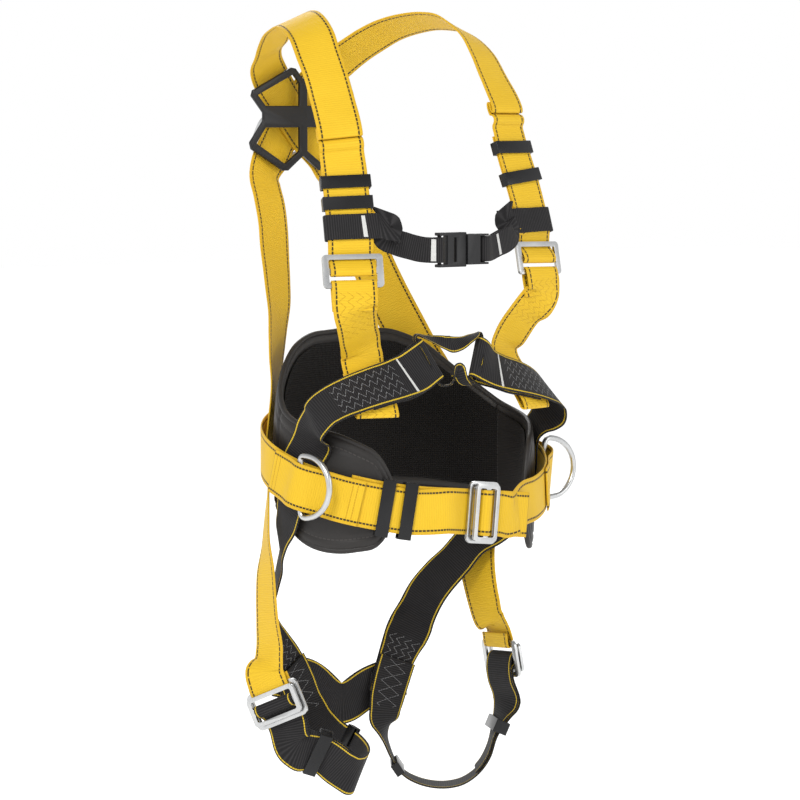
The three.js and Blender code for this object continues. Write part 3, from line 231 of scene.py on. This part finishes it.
def webbing_finish(name, width, dark=False, patches=(), belt=False, edged=True):
    """Woven webbing: ribs across, a bound edge, edge stitching and sewn patches.

    patches are (kind, start, end) along the strap in millimetres."""
    f = Finish(name)
    where = f.node("ShaderNodeUVMap", uv_map="web").outputs[0]
    parts = f.node("ShaderNodeSeparateXYZ", Vector=where)
    across = f.line(parts.outputs[0])
    along = f.line(parts.outputs[1])
    from_edge = across.math("MINIMUM", width - across)
    ribs = (along * (2 * math.pi / 2.3)).math("SINE") * 0.5 + 0.5
    cords = (across * (2 * math.pi / 1.5)).math("SINE") * 0.5 + 0.5
    broad = f.noise(11.0, 4.0, 0.6)
    cloudy = f.noise(42.0, 3.0, 0.6)
    fine = f.noise(900.0, 2.0, 0.6)
    height = ribs * 0.6 + cords * ribs * 0.2 + fine * 0.08
    if dark:
        body = f.mix(broad, CHARCOAL, CHARCOAL_WORN)
        # rib crests painted lighter grey: a painted sheen on the tops of the ribs
        body = f.mix(ribs * ribs * (cloudy * 0.6 + 0.25), body, CHARCOAL_RIB_SHEEN)
        if edged:
            border = from_edge.between(1.6, 3.0)
            dotted = along.dashes(1.9, 0.72) * 0.5 + 0.5
            body = f.mix(border * dotted, body, THREAD_GOLD)
            height = height + border * 0.5
    else:
        body = f.mix(broad, YELLOW_DEEP, YELLOW_PALE)
        body = f.mix(0.68, body, YELLOW)
        body = f.mix(ribs * 0.26 + cords * 0.08, body, YELLOW_DEEP)
        body = f.mix(cloudy * 0.22, body, YELLOW_PALE)
        selvedge = from_edge.below(2.6)
        body = f.mix(selvedge * 0.4, body, YELLOW_DEEP)
        near, far = (3.2, 5.0) if belt else (3.1, 4.7)
        threads = from_edge.between(near, far) * along.dashes(3.4 if belt else 4.4, 0.8)
        groove = from_edge.between(near - 0.4, far + 0.4)
        # the sunken groove beside the stitching is painted deeper yellow: painted shade in the channel
        body = f.mix(groove * 0.3, body, YELLOW_DEEP)
        body = f.mix(threads * 0.96, body, THREAD_DARK)
        height = height - groove * 0.6 + threads * 0.5 + selvedge * 0.3
    sewn = f.line(0.0)
    pale = f.line(0.0)
    middle = width / 2
    for kind, start, end in patches:
        inside = along.between(start, end)
        if kind == "zigzag":
            rows = f.line(0.0)
            for offset in (-0.29, -0.1, 0.1, 0.29):
                wave = along.zigzag(9.0, width * 0.075)
                row = across - middle - wave - width * offset
                rows = rows.either(row.math("ABSOLUTE").below(0.5))
            sewn = sewn.either(rows * inside)
        elif kind == "lattice":
            wave = along.zigzag(24.0, width * 0.3)
            one = (across - middle - wave).math("ABSOLUTE").below(0.6)
            two = (across - middle + wave).math("ABSOLUTE").below(0.6)
            shifted = (along + 12.0).zigzag(24.0, width * 0.3)
            other = (across - middle - shifted).math("ABSOLUTE").below(0.6)
            sewn = sewn.either(one.either(two).either(other) * inside)
        elif kind == "rows":
            lines = (along - start).dashes(5.0, 0.2) * from_edge.above(5.5)
            sewn = sewn.either(lines * inside)
        elif kind == "bar":
            pale = pale.either(inside * from_edge.above(width * 0.07))
    if patches:
        stitch = (across + along * 0.35).dashes(2.6, 0.8)
        colour = THREAD_GREY if dark else YELLOW_DEEP
        body = f.mix(sewn * stitch * 0.92, body, colour)
        tack = across.dashes(1.3, 0.75) * 0.3 + 0.7
        body = f.mix(pale * tack * 0.95, body, THREAD_WHITE)
        height = height + (sewn * stitch + pale) * 1.2
    f.colour(body)
    f.rough(fine * 0.15 + (0.6 if dark else 0.52))
    f.relief(height, 0.0002)
    f.plain(Sheen_Weight=0.04, Sheen_Roughness=0.5, Specular_IOR_Level=0.14 if dark else 0.3)
    return f.material


# ---- webbing geometry
def neighbours_of(node):
    """A strap solid's corner points, and for each the points that it shares an edge with."""
    mesh = bmesh.new()
    mesh.from_mesh(nodes[node].data)
    bmesh.ops.remove_doubles(mesh, verts=mesh.verts, dist=SAME_POINT)
    near = {v.index: {e.other_vert(v).index for e in v.link_edges} for v in mesh.verts}
    mesh.verts.ensure_lookup_table()
    spots = [v.co.copy() for v in mesh.verts]
    mesh.free()
    return spots, near


def walked(start, near, seen):
    """From one ring of four corners to the next, until a step is not four corners."""
    chain = [sorted(start)]
    seen |= set(start)
    while True:
        step = {c for b in chain[-1] for c in near[b]} - seen
        if len(step) != 4:
            return chain
        chain.append(sorted(step))
        seen |= step


def end_rings(spots, near):
    """Rings of two short and two long sides that touch only one other ring."""
    thin = 0.0026
    found = []
    for a, group in near.items():
        for b in group:
            if b < a or (spots[a] - spots[b]).length > thin:
                continue
            for c in near[b] - {a}:
                for d in (near[c] & group) - {b}:
                    ring = {a, b, c, d}
                    beyond = {e for q in ring for e in near[q]} - ring
                    narrow = (spots[c] - spots[d]).length < thin
                    if narrow and len(beyond) == 4 and ring not in found:
                        found.append(ring)
    return found


def ring_chain(node):
    """The rings of four corners that a strap's solid is built from, in order along it."""
    spots, near = neighbours_of(node)
    chains = [walked(end, near, set()) for end in end_rings(spots, near)]
    best = max(chains, key=len)
    if 4 * len(best) < len(spots):
        held = {i for ring in best for i in ring}
        for chain in chains:
            if not held & {i for ring in chain for i in ring}:
                best = best + chain[::-1]
                break
    return [[spots[i] for i in ring] for ring in best]


def closed_ring_chain(node):
    """The same for a strap that closes on itself: its first ring is the shortest way round it."""
    spots, near = neighbours_of(node)
    a = 0
    around = None
    for b, d in itertools.permutations(near[a], 2):
        if d in near[b]:
            continue
        for c in (near[b] & near[d]) - {a} - near[a]:
            ring = [a, b, c, d]
            length = sum((spots[ring[i]] - spots[ring[i - 1]]).length for i in range(4))
            if around is None or length < around[0]:
                around = (length, ring)
    first = around[1]
    outside = {c for b in first for c in near[b]} - set(first)
    seed = min(outside)
    side = {seed}
    while True:
        more = {c for b in side for c in near[b] & outside} - side
        if not more:
            break
        side |= more
    chain = [sorted(first)] + walked(side, near, set(first) | (outside - side))
    chain.append(sorted(outside - side))
    chain.append(sorted(first))
    return [[spots[i] for i in ring] for ring in chain]


def ordered(rings):
    """Each ring as (left low, right low, right high, left high), kept alike from ring to ring."""
    first = rings[0]
    a = first[0]
    b = min(first[1:], key=lambda p: (p - a).length)
    rest = [p for p in first if p is not a and p is not b]
    c = min(rest, key=lambda p: (p - b).length)
    d = next(p for p in rest if p is not c)
    kept = [[a, d, c, b]]
    for ring in rings[1:]:
        last = kept[-1]
        choice = None
        for p in ring:
            mate = min((q for q in ring if q is not p), key=lambda q: (q - p).length)
            others = [q for q in ring if q is not p and q is not mate]
            far = min(others, key=lambda q: (q - mate).length)
            opposite = next(q for q in others if q is not far)
            option = [p, opposite, far, mate]
            cost = sum((x - y).length for x, y in zip(option, last))
            if choice is None or cost < choice[0]:
                choice = (cost, option)
        kept.append(choice[1])
    return kept


def smooth_run(values, spacing, step):
    """Catmull-Rom through values laid at the given distances, read every step or finer in bends."""
    out = []
    count = len(values)
    for i in range(count - 1):
        p0 = values[max(i - 1, 0)]
        p1 = values[i]
        p2 = values[i + 1]
        p3 = values[min(i + 2, count - 1)]
        d1 = spacing[i + 1] - spacing[i]
        d0 = spacing[i] - spacing[i - 1] if i else d1
        d2 = spacing[i + 2] - spacing[i + 1] if i + 2 < count else d1
        m1 = ((p1 - p0) / d0 * d1 + (p2 - p1) / d1 * d0) / (d0 + d1) * d1
        m2 = ((p2 - p1) / d1 * d2 + (p3 - p2) / d2 * d1) / (d1 + d2) * d1
        n = max(2, int(math.ceil(d1 / step)))
        for k in range(n):
            t = k / n
            out.append(
                p1 * (2 * t**3 - 3 * t**2 + 1)
                + m1 * (t**3 - 2 * t**2 + t)
                + p2 * (-2 * t**3 + 3 * t**2)
                + m2 * (t**3 - t**2)
            )
    out.append(values[-1])
    return out


runs = {}


def starts_at_far_end(node, first, last):
    """Whether a strap's rings run against the way that its sewn patches are measured."""
    if node.startswith("hip"):
        return first.y > last.y
    if node.startswith("leg"):
        return first.y < last.y
    return ("main" in node or "lower" in node or "chest" in node) and first.z < last.z


def strap_run(node, step=0.003, closed=False):
    """Centre, width direction and face direction along a strap, every few millimetres."""
    rings = closed_ring_chain(node) if closed else ring_chain(node)
    first, last = (sum(ring, Vector()) for ring in (rings[0], rings[-1]))
    if starts_at_far_end(node, first, last):
        rings.reverse()
    rings = ordered(rings)
    centres = [sum(r, Vector()) / 4 for r in rings]
    widths = [((r[1] + r[2]) - (r[0] + r[3])) / 2 for r in rings]
    faces = [((r[3] + r[2]) - (r[0] + r[1])) / 2 for r in rings]
    for i in range(1, len(faces)):
        turned = faces[i].dot(faces[i - 1]) < -0.2 * faces[i].length * faces[i - 1].length
        if turned and widths[i].dot(widths[i - 1]) < 0:
            widths[i] = -widths[i]
            faces[i] = -faces[i]
    spacing = [0.0]
    for a, b in zip(centres, centres[1:]):
        spacing.append(spacing[-1] + max((b - a).length, 1e-5))
    c = smooth_run(centres, spacing, step)
    w = smooth_run(widths, spacing, step)
    n = smooth_run(faces, spacing, step)
    length = [0.0]
    for a, b in zip(c, c[1:]):
        length.append(length[-1] + (b - a).length)
    runs[node] = {"c": c, "w": w, "n": n, "s": length}


def add_mesh(name, points, faces, uv, layer_name):
    """A smooth mesh with its UV map in millimetres and all its faces pointing out."""
    data = bpy.data.meshes.new(name)
    data.from_pydata([tuple(p) for p in points], [], faces)
    layer = data.uv_layers.new(name=layer_name)
    flat = np.array([uv[i] for face in faces for i in face], dtype=np.float32)
    layer.data.foreach_set("uv", flat.reshape(-1))
    data.validate()
    obj = bpy.data.objects.new(name, data)
    bpy.context.scene.collection.objects.link(obj)
    for polygon in data.polygons:
        polygon.use_smooth = True
    loose = bmesh.new()
    loose.from_mesh(data)
    bmesh.ops.recalc_face_normals(loose, faces=loose.faces)
    loose.to_mesh(data)
    loose.free()
    return obj


def strap(node, material, thick=WEB_THICK, drawn=None):
    """A strap's woven solid: flat faces and rounded selvedges."""
    run = runs[node]
    points = []
    uv = []
    half = thick / 2
    columns = [0.0, 0.012, 0.05, 0.2, 0.35, 0.5, 0.65, 0.8, 0.95, 0.988, 1.0]
    profile = [(u, 1) for u in columns] + [(u, -1) for u in reversed(columns)]
    swell = {0.0: 0.35, 1.0: 0.35, 0.012: 0.85, 0.988: 0.85}
    for c, w, n, s in zip(run["c"], run["w"], run["n"], run["s"]):
        width = w.length
        face = n.normalized()
        side = (w - face * w.dot(face)).normalized() * width
        for u, up in profile:
            rise = half * up * swell.get(u, 1.0)
            points.append(c + side * (u - 0.5) + face * rise)
            uv.append((u * (drawn or width / MM), s / MM))
    m = len(profile)
    faces = []
    for i in range(len(run["c"]) - 1):
        for j in range(m):
            k = (j + 1) % m
            faces.append((i * m + j, (i + 1) * m + j, (i + 1) * m + k, i * m + k))
    faces.append(tuple(range(m)))
    last = (len(run["c"]) - 1) * m
    faces.append(tuple(last + j for j in reversed(range(m))))
    obj = add_mesh(node + "_web", points, faces, uv, "web")
    obj.data.materials.append(material)
    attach(obj, WEB)
    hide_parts(node)


def along_at(node, height, first, last):
    """How far along a strap, in millimetres, its centre passes a height, between two shares of it."""
    run = runs[node]
    total = run["s"][-1]
    spots = []
    for c, s in zip(run["c"], run["s"]):
        if first * total <= s <= last * total:
            spots.append((abs(c.z - height), s))
    return min(spots)[1] / MM


straps = [
    "main_strap_right",
    "main_strap_left",
    "hip_strap_right",
    "hip_strap_left",
    "front_lower_strap_right",
    "front_lower_strap_left",
    "leg_strap_right",
    "leg_strap_left",
    "seat_strap",
    "belt_strap",
    "belt_loop_right",
    "belt_loop_left",
    "chest_strap_right",
    "chest_strap_left",
]
for node in straps:
    strap_run(node)
strap_run("ventral_connector", 0.0015, closed=True)


def eased_edges(node, rounds):
    """Rounds off both edges of a strap that bends edgewise, where the real one bunches a little."""
    run = runs[node]
    edges = [[c + w * half for c, w in zip(run["c"], run["w"])] for half in (-0.5, 0.5)]
    for line in edges:
        for _ in range(rounds):
            line[1:-1] = [(a + b * 2 + c) / 4 for a, b, c in zip(line, line[1:], line[2:])]
    run["c"] = [(a + b) / 2 for a, b in zip(*edges)]
    run["w"] = [b - a for a, b in zip(*edges)]


eased_edges("seat_strap", 26)


def length_of(node):
    """A strap's length in millimetres."""
    return runs[node]["s"][-1] / MM


for side in ("right", "left"):
    node = "main_strap_" + side
    strap(node, webbing_finish("yellow_main_" + side, WEB_WIDTH))
    node = "hip_strap_" + side
    total = length_of(node)
    front = along_at(node, 0.112, 0.05, 0.3)
    patches = [
        ("zigzag", front + 14, front + 88),
        ("zigzag", total - 62, total - 4),
        ("bar", front + 3, front + 5.4),
    ]
    strap(node, webbing_finish("black_hip_" + side, WEB_WIDTH, dark=True, patches=patches))
    node = "front_lower_strap_" + side
    total = length_of(node)
    patches = [("zigzag", 45, 95), ("zigzag", total - 60, total - 20)]
    strap(node, webbing_finish("yellow_lower_" + side, WEB_WIDTH, patches=patches))
    node = "leg_strap_" + side
    finish = webbing_finish("black_leg_" + side, WEB_WIDTH, dark=True, patches=[("lattice", 2, 50)])
    strap(node, finish)
    node = "belt_loop_" + side
    total = length_of(node)
    patches = [("rows", 4, 12), ("rows", total - 12, total - 4)]
    finish = webbing_finish("yellow_loop_" + side, WEB_WIDTH, patches=patches, belt=True)
    strap(node, finish)
    node = "chest_strap_" + side
    patches = [("bar", 112, 116), ("bar", 205, 210)] if side == "right" else [("bar", 185, 189)]
    finish = webbing_finish("black_chest_" + side, CHEST_WIDTH, dark=True, patches=patches, edged=False)
    strap(node, finish, CHEST_THICK)
total = length_of("seat_strap")
patches = [("lattice", 2, 44), ("lattice", total - 44, total - 2)]
strap("seat_strap", webbing_finish("black_seat", WEB_WIDTH, dark=True, patches=patches))
strap("belt_strap", webbing_finish("yellow_belt", WEB_WIDTH, belt=True))
link_finish = webbing_finish("black_connector", LINK_WIDTH, dark=True)
strap("ventral_connector", link_finish, drawn=LINK_WIDTH)


# ---- finishes for hardware
def steel_finish():
    """Zinc-plated steel: cloudy plating and fine drawn scratches."""
    f = Finish("zinc_steel")
    broad = f.noise(45.0, 5.0, 0.6)
    scratch_vector = f.node("ShaderNodeMapping", Vector=f.place(), Scale=(1.0, 1.0, 14.0))
    scratch = f.noise(220.0, 3.0, 0.7, scratch_vector.outputs[0])
    f.colour(f.mix(broad, (0.40, 0.41, 0.42), (0.66, 0.66, 0.65)))
    f.rough(broad * 0.14 + scratch * 0.12 + 0.17)
    f.relief(scratch, 0.0001, 0.5)
    f.plain(Metallic=1.0)
    return f.material


def plastic_finish(name, dark, light, rough):
    """Moulded nylon: a fine grain and a slightly uneven shine."""
    f = Finish(name)
    grain = f.noise(700.0, 2.0, 0.5)
    broad = f.noise(30.0, 3.0, 0.5)
    f.colour(f.mix(broad, dark, light))
    f.rough(broad * 0.12 + rough)
    f.relief(grain, 0.00008, 0.5)
    f.plain(Specular_IOR_Level=0.28, Coat_Weight=0.08, Coat_Roughness=0.15)
    return f.material


def cover_finish():
    """Coated cover cloth: fine grain, a soft shine and a stitched line inside its edge."""
    f = Finish("pad_cover_cloth")
    parts = f.node("ShaderNodeSeparateXYZ", Vector=f.node("ShaderNodeUVMap", uv_map="pad").outputs[0])
    from_rim = f.line(parts.outputs[1])
    along = f.line(parts.outputs[0])
    grain = f.noise(520.0, 4.0, 0.65)
    broad = f.noise(9.0, 4.0, 0.6)
    stitch = from_rim.between(SEAM_IN - 0.6, SEAM_IN + 0.6) * along.dashes(4.2, 0.7)
    body = f.mix(broad, (0.010, 0.0085, 0.008), (0.024, 0.021, 0.019))
    f.colour(f.mix(stitch * 0.7, body, (0.05, 0.045, 0.042)))
    f.rough(grain * 0.2 + 0.38)
    f.relief(grain * 0.7 + stitch, 0.0003, 0.8)
    f.plain(Sheen_Weight=0.02, Specular_IOR_Level=0.36)
    return f.material


def spacer_finish(panel):
    """Lining: open diamond mesh over the back, plain cloth beyond the two seams, thread along them."""
    f = Finish("spacer_mesh")
    parts = f.node("ShaderNodeSeparateXYZ", Vector=f.node("ShaderNodeUVMap", uv_map="pad").outputs[0])
    along = f.line(parts.outputs[0])
    up = f.node("ShaderNodeSeparateXYZ", Vector=f.place())
    height = f.line(up.outputs[2]) * 1000.0
    turn = 2 * math.pi / 4.4
    a = ((along + height) * turn).math("SINE")
    b = ((along - height) * turn).math("SINE")
    cell = (a * b) * 0.5 + 0.5
    open_mesh = along.math("ABSOLUTE").below(panel)
    painted_hole_shade = cell * open_mesh
    ribs = (height * (2 * math.pi / 1.6)).math("SINE") * 0.5 + 0.5
    seam = (along.math("ABSOLUTE") - panel).math("ABSOLUTE").below(0.8)
    broad = f.noise(12.0, 3.0, 0.5)
    fine = f.noise(800.0, 2.0, 0.6)
    base = f.mix(broad, (0.0085, 0.0075, 0.007), (0.019, 0.017, 0.016))
    # the mesh openings are painted near black: painted shade down in the holes
    base = f.mix(painted_hole_shade * 0.85, base, (0.0012, 0.0011, 0.001))
    base = f.mix(seam * height.dashes(3.6, 0.7) * 0.5, base, (0.05, 0.048, 0.046))
    f.colour(base)
    f.rough(cell * 0.15 + 0.7)
    f.relief(open_mesh * (1.0 - cell) + (1.0 - open_mesh) * ribs * 0.25 + fine * 0.15, 0.0011)
    f.plain(Sheen_Weight=0.02, Specular_IOR_Level=0.15)
    return f.material


STEEL = steel_finish()
PLASTIC = plastic_finish("black_plastic", (0.004, 0.004, 0.0045), (0.010, 0.010, 0.011), 0.22)
PLASTIC_DULL = plastic_finish("black_plastic_dull", (0.006, 0.006, 0.0065), (0.013, 0.013, 0.014), 0.34)


def rounded(node, material, radius=0.0, rod=False):
    """A hard piece keeps its solid, welded and cleaned of split faces, with its edges eased."""
    obj = nodes[node]
    obj.data.materials.clear()
    obj.data.materials.append(material)
    weld = obj.modifiers.new("weld", "WELD")
    weld.merge_threshold = SAME_POINT
    if rod:
        soft = obj.modifiers.new("round", "SUBSURF")
        soft.levels = 2
        soft.render_levels = 2
    else:
        flat = obj.modifiers.new("flat", "DECIMATE")
        flat.decimate_type = "DISSOLVE"
        flat.angle_limit = math.radians(1.0)
        ease = obj.modifiers.new("ease", "BEVEL")
        ease.width = radius
        ease.segments = 3
        ease.limit_method = "ANGLE"
        ease.angle_limit = math.radians(40)
        ease.use_clamp_overlap = True
        ease.harden_normals = False
    for polygon in obj.data.polygons:
        polygon.use_smooth = True


for node in nodes:
    if "d_ring" in node:
        rounded(node, STEEL, rod=True)
    elif node.startswith("adjuster") or ("buckle" in node and "chest" not in node):
        rounded(node, STEEL, 0.0012)
    elif "keeper" in node:
        rounded(node, PLASTIC, 0.0007)
    elif node == "dorsal_plate":
        rounded(node, PLASTIC_DULL, 0.0011)
    elif node.startswith("chest_buckle") or "prong" in node:
        rounded(node, PLASTIC_DULL, 0.0009)


# ---- the padded back rest
SEAM_IN = 11.0
CORNER = 24.0
PANEL = 176.0
TUCK = 0.3
LEVELS = 6


def pad_grid(node):
    """A pad solid's outer and inner faces, as columns round the back of rows from low to high."""
    mesh = bmesh.new()
    mesh.from_mesh(nodes[node].data)
    bmesh.ops.remove_doubles(mesh, verts=mesh.verts, dist=SAME_POINT)
    spots = np.array([tuple(v.co) for v in mesh.verts])
    mesh.free()
    wide = np.abs(spots[:, 0]).max()
    widest = spots[np.abs(spots[:, 0]) > wide - 0.004]
    middle = widest[:, 1].mean()
    deep = spots[:, 1].max() - middle
    turn = np.arctan2(spots[:, 0] / wide, (spots[:, 1] - middle) / deep)
    order = np.argsort(turn)
    outer, inner = [], []
    for start in range(0, len(order), 2 * LEVELS):
        column = spots[order[start : start + 2 * LEVELS]]
        column = column[np.argsort(column[:, 2])]
        for faces, pick in ((outer, np.argmax), (inner, np.argmin)):
            row = []
            for k in range(0, 2 * LEVELS, 2):
                pair = column[k : k + 2]
                out = (pair[:, 0] / wide) ** 2 + ((pair[:, 1] - middle) / deep) ** 2
                row.append(pair[pick(out)])
            faces.append(row)
    return np.array(outer), np.array(inner)


def resampled(values, at):
    """Catmull-Rom along the first axis, read at fractional places."""
    count = len(values)
    low = np.clip(np.floor(at).astype(int), 0, count - 2)
    t = (at - low).reshape((-1,) + (1,) * (values.ndim - 1))
    p0 = values[np.clip(low - 1, 0, count - 1)]
    p1 = values[low]
    p2 = values[low + 1]
    p3 = values[np.clip(low + 2, 0, count - 1)]
    bend = 2 * p0 - 5 * p1 + 4 * p2 - p3
    twist = 3 * p1 - p0 - 3 * p2 + p3
    return 0.5 * (2 * p1 + (p2 - p0) * t + bend * t**2 + twist * t**3)


def pad_sheet(node, columns, rows, grow):
    """The pad's middle surface with rounded corners: places, outward directions, round and rim distances."""
    outer, inner = pad_grid(node)
    middle = (outer + inner) / 2
    across = outer - inner
    at = np.linspace(0, len(middle) - 1, columns)
    middle = resampled(middle, at)
    across = resampled(across, at)
    centre = middle[:, 2:4].mean(axis=1)
    gaps = np.linalg.norm(np.diff(centre, axis=0), axis=1)
    around = np.concatenate([[0.0], np.cumsum(gaps)]) / MM
    start = around[np.argmin(np.abs(centre[:, 0]) + (centre[:, 1] < 0) * 9)]
    tip = np.minimum(around, around[-1] - around)
    places = np.zeros((columns, rows, 3))
    rim = np.zeros((columns, rows))
    for i in range(columns):
        low, high = middle[i, 0], middle[i, -1]
        tall = np.linalg.norm(high - low) / MM + 2 * grow
        lost = CORNER - math.sqrt(max(CORNER**2 - max(CORNER - tip[i], 0.0) ** 2, 0.0))
        share = np.linspace(0, 1, rows)
        share = 0.5 - 0.5 * np.cos(math.pi * share) * 0.35 + (share - 0.5) * 0.65
        level = lost - grow + (tall - 2 * lost) * share
        place = level / (tall - 2 * grow)
        for k in range(3):
            line = np.interp(place, np.linspace(0, 1, LEVELS), middle[i, :, k])
            before = middle[i, 0, k] + (middle[i, 1, k] - middle[i, 0, k]) * place * (LEVELS - 1)
            after = middle[i, -1, k] + (middle[i, -1, k] - middle[i, -2, k]) * (place - 1) * (LEVELS - 1)
            places[i, :, k] = np.where(place < 0, before, np.where(place > 1, after, line))
        edge = np.minimum(level + grow, tall - grow - level)
        slope = np.minimum(edge, 60.0)
        near = CORNER - tip[i]
        if near > 0:
            corner_low = np.hypot(near, np.maximum(CORNER - (level + grow), 0))
            corner_high = np.hypot(near, np.maximum(CORNER - (tall - grow - level), 0))
            corner = CORNER - np.maximum(corner_low, corner_high)
            slope = np.minimum(slope, np.maximum(corner, 0))
        slope = np.minimum(slope, tip[i])
        rim[i] = np.maximum(slope, 0)
    out = np.gradient(places, axis=0)
    rise = np.gradient(places, axis=1)
    normal = np.cross(rise, out)
    size = np.linalg.norm(normal, axis=2, keepdims=True)
    normal = normal / np.maximum(size, 1e-12)
    toward = across.mean(axis=1)[:, None, :]
    normal *= np.sign((normal * toward).sum(axis=2, keepdims=True))
    return places, normal, around - start, rim


def pad_piece(name, node, columns, rows, grow, half, crown, material):
    """A closed padded form: two crowned faces that meet at the rim, with sewn grooves."""
    places, normal, around, rim = pad_sheet(node, columns, rows, grow)
    ease = np.clip(rim / 7.0, 0, 1)
    swell = np.sqrt(np.clip(1 - (1 - ease) ** 2, 0, 1)) * (1 - TUCK) + TUCK * ease
    body = half * swell + crown * np.clip((rim - SEAM_IN) / 22.0, 0, 1) ** 0.5
    groove = np.exp(-(((rim - SEAM_IN) / 1.5) ** 2)) * half * 0.34
    panel_seam = np.exp(-(((np.abs(around)[:, None] - PANEL) / 1.8) ** 2)) * half * 0.6
    groove = np.maximum(groove, panel_seam)
    random = np.random.default_rng(7)
    waves = np.zeros_like(rim)
    for _ in range(7):
        k = random.uniform(0.02, 0.075)
        j = random.uniform(-0.05, 0.05)
        level = places[:, :, 2] / MM
        waves += np.sin(around[:, None] * k * 2 + level * j * 2 + random.uniform(0, 6.28))
    waves = waves / 7 * np.clip((rim - 4) / 14, 0, 1)
    body = np.maximum(body - groove + waves * half * 0.14, 0)
    front = places + normal * (body * MM)[:, :, None]
    back = places - normal * (body * MM)[:, :, None]
    points = []
    uv = []
    index = {}
    for i in range(columns):
        for j in range(rows):
            border = i in (0, columns - 1) or j in (0, rows - 1)
            index[i, j, 0] = len(points)
            points.append((front[i, j] + back[i, j]) / 2 if border else front[i, j])
            uv.append((around[i], rim[i, j]))
            if border:
                index[i, j, 1] = index[i, j, 0]
            else:
                index[i, j, 1] = len(points)
                points.append(back[i, j])
                uv.append((around[i], rim[i, j]))
    faces = []
    for i in range(columns - 1):
        for j in range(rows - 1):
            for layer in (0, 1):
                corners = ((i, j), (i + 1, j), (i + 1, j + 1), (i, j + 1))
                ring = [index[a, b, layer] for a, b in corners]
                faces.append(tuple(ring if layer == 0 else ring[::-1]))
    obj = add_mesh(name, points, faces, uv, "pad")
    obj.data.materials.append(material)
    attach(obj, WEB)
    return obj, places


COVER = cover_finish()
shell, shell_places = pad_piece("pad_shell_padded", "pad_shell", 230, 44, 1.6, 3.9, 0.9, COVER)
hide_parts("pad_shell")
LINING = spacer_finish(PANEL)
lining, _ = pad_piece("pad_lining_padded", "pad_lining", 220, 40, 0.6, 0.9, 0.9, LINING)
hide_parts("pad_lining")


def piping(places, name, radius, sides=10):
    """A rolled edge all round the pad, on the rim where its two faces meet."""
    loop = [*places[:, 0], *places[-1, 1:], *places[::-1, -1][1:], *places[0, ::-1][1:-1]]
    run = [Vector(loop[0])]
    for p in loop[1:]:
        if (Vector(p) - run[-1]).length > 0.0024:
            run.append(Vector(p))
    if (run[-1] - run[0]).length < 0.0015:
        run.pop()
    for _ in range(2):
        run = [(run[i - 1] + run[i] * 2 + run[(i + 1) % len(run)]) / 4 for i in range(len(run))]
    points = []
    uv = []
    gone = 0.0
    count = len(run)
    for i, p in enumerate(run):
        way = (run[(i + 1) % count] - run[i - 1]).normalized()
        flat = Vector((p.x, p.y * 1.4, 0)).normalized()
        first = (flat - way * flat.dot(way)).normalized()
        second = way.cross(first)
        gone += (p - run[i - 1]).length / MM
        for k in range(sides):
            q = 2 * math.pi * k / sides
            points.append(p + (first * math.cos(q) + second * math.sin(q)) * radius)
            uv.append((gone, k))
    faces = []
    for i in range(count):
        n = (i + 1) % count
        for k in range(sides):
            m = (k + 1) % sides
            faces.append((i * sides + k, n * sides + k, n * sides + m, i * sides + m))
    obj = add_mesh(name, points, faces, uv, "pad")
    obj.data.materials.append(COVER)
    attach(obj, WEB)
    return obj


rim_cord = piping(shell_places, "pad_piping_cord", 0.0029)
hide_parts("pad_piping")


# ---- floor and light
def stage_plane():
    """A plain pale floor, a little under the hanging harness."""
    low = cad_box[0][2] - 0.035
    bpy.ops.mesh.primitive_plane_add(size=24, location=(0, 0, low))
    floor = bpy.context.object
    floor.name = "floor"
    f = Finish("floor_paper")
    f.plain(Base_Color=(0.72, 0.72, 0.72, 1), Roughness=0.9)
    f.plain(Emission_Color=(1, 1, 1, 1), Emission_Strength=0.6)
    floor.data.materials.append(f.material)


def studio_world():
    """White all round, dimmer overhead so that the lamps model the straps."""
    world = bpy.data.worlds.new("studio")
    bpy.context.scene.world = world
    world.use_nodes = True
    sky = world.node_tree
    backdrop = sky.nodes["Background"]
    facing = sky.nodes.new("ShaderNodeTexCoord")
    split = sky.nodes.new("ShaderNodeSeparateXYZ")
    fade = sky.nodes.new("ShaderNodeMapRange")
    for socket, value in (("From Min", 0.12), ("From Max", 0.9), ("To Min", 1.0), ("To Max", 0.42)):
        fade.inputs[socket].default_value = value
    sky.links.new(facing.outputs["Generated"], split.inputs[0])
    sky.links.new(split.outputs[2], fade.inputs["Value"])
    sky.links.new(fade.outputs[0], backdrop.inputs[1])
    backdrop.inputs[0].default_value = (1, 1, 1, 1)


def lamp(name, spot, size, power):
    """A soft square lamp that faces the harness."""
    data = bpy.data.lights.new(name, "AREA")
    data.size = size
    data.energy = power
    obj = bpy.data.objects.new(name, data)
    bpy.context.scene.collection.objects.link(obj)
    obj.location = spot
    obj.rotation_euler = (-Vector(spot)).to_track_quat("-Z", "Y").to_euler()


stage_plane()
studio_world()
lamp("key", (-2.6, -1.6, 2.3), 1.2, 75)
lamp("fill", (1.4, -3.2, 0.9), 1.6, 18)
lamp("back", (1.6, 2.6, 2.2), 1.6, 40)
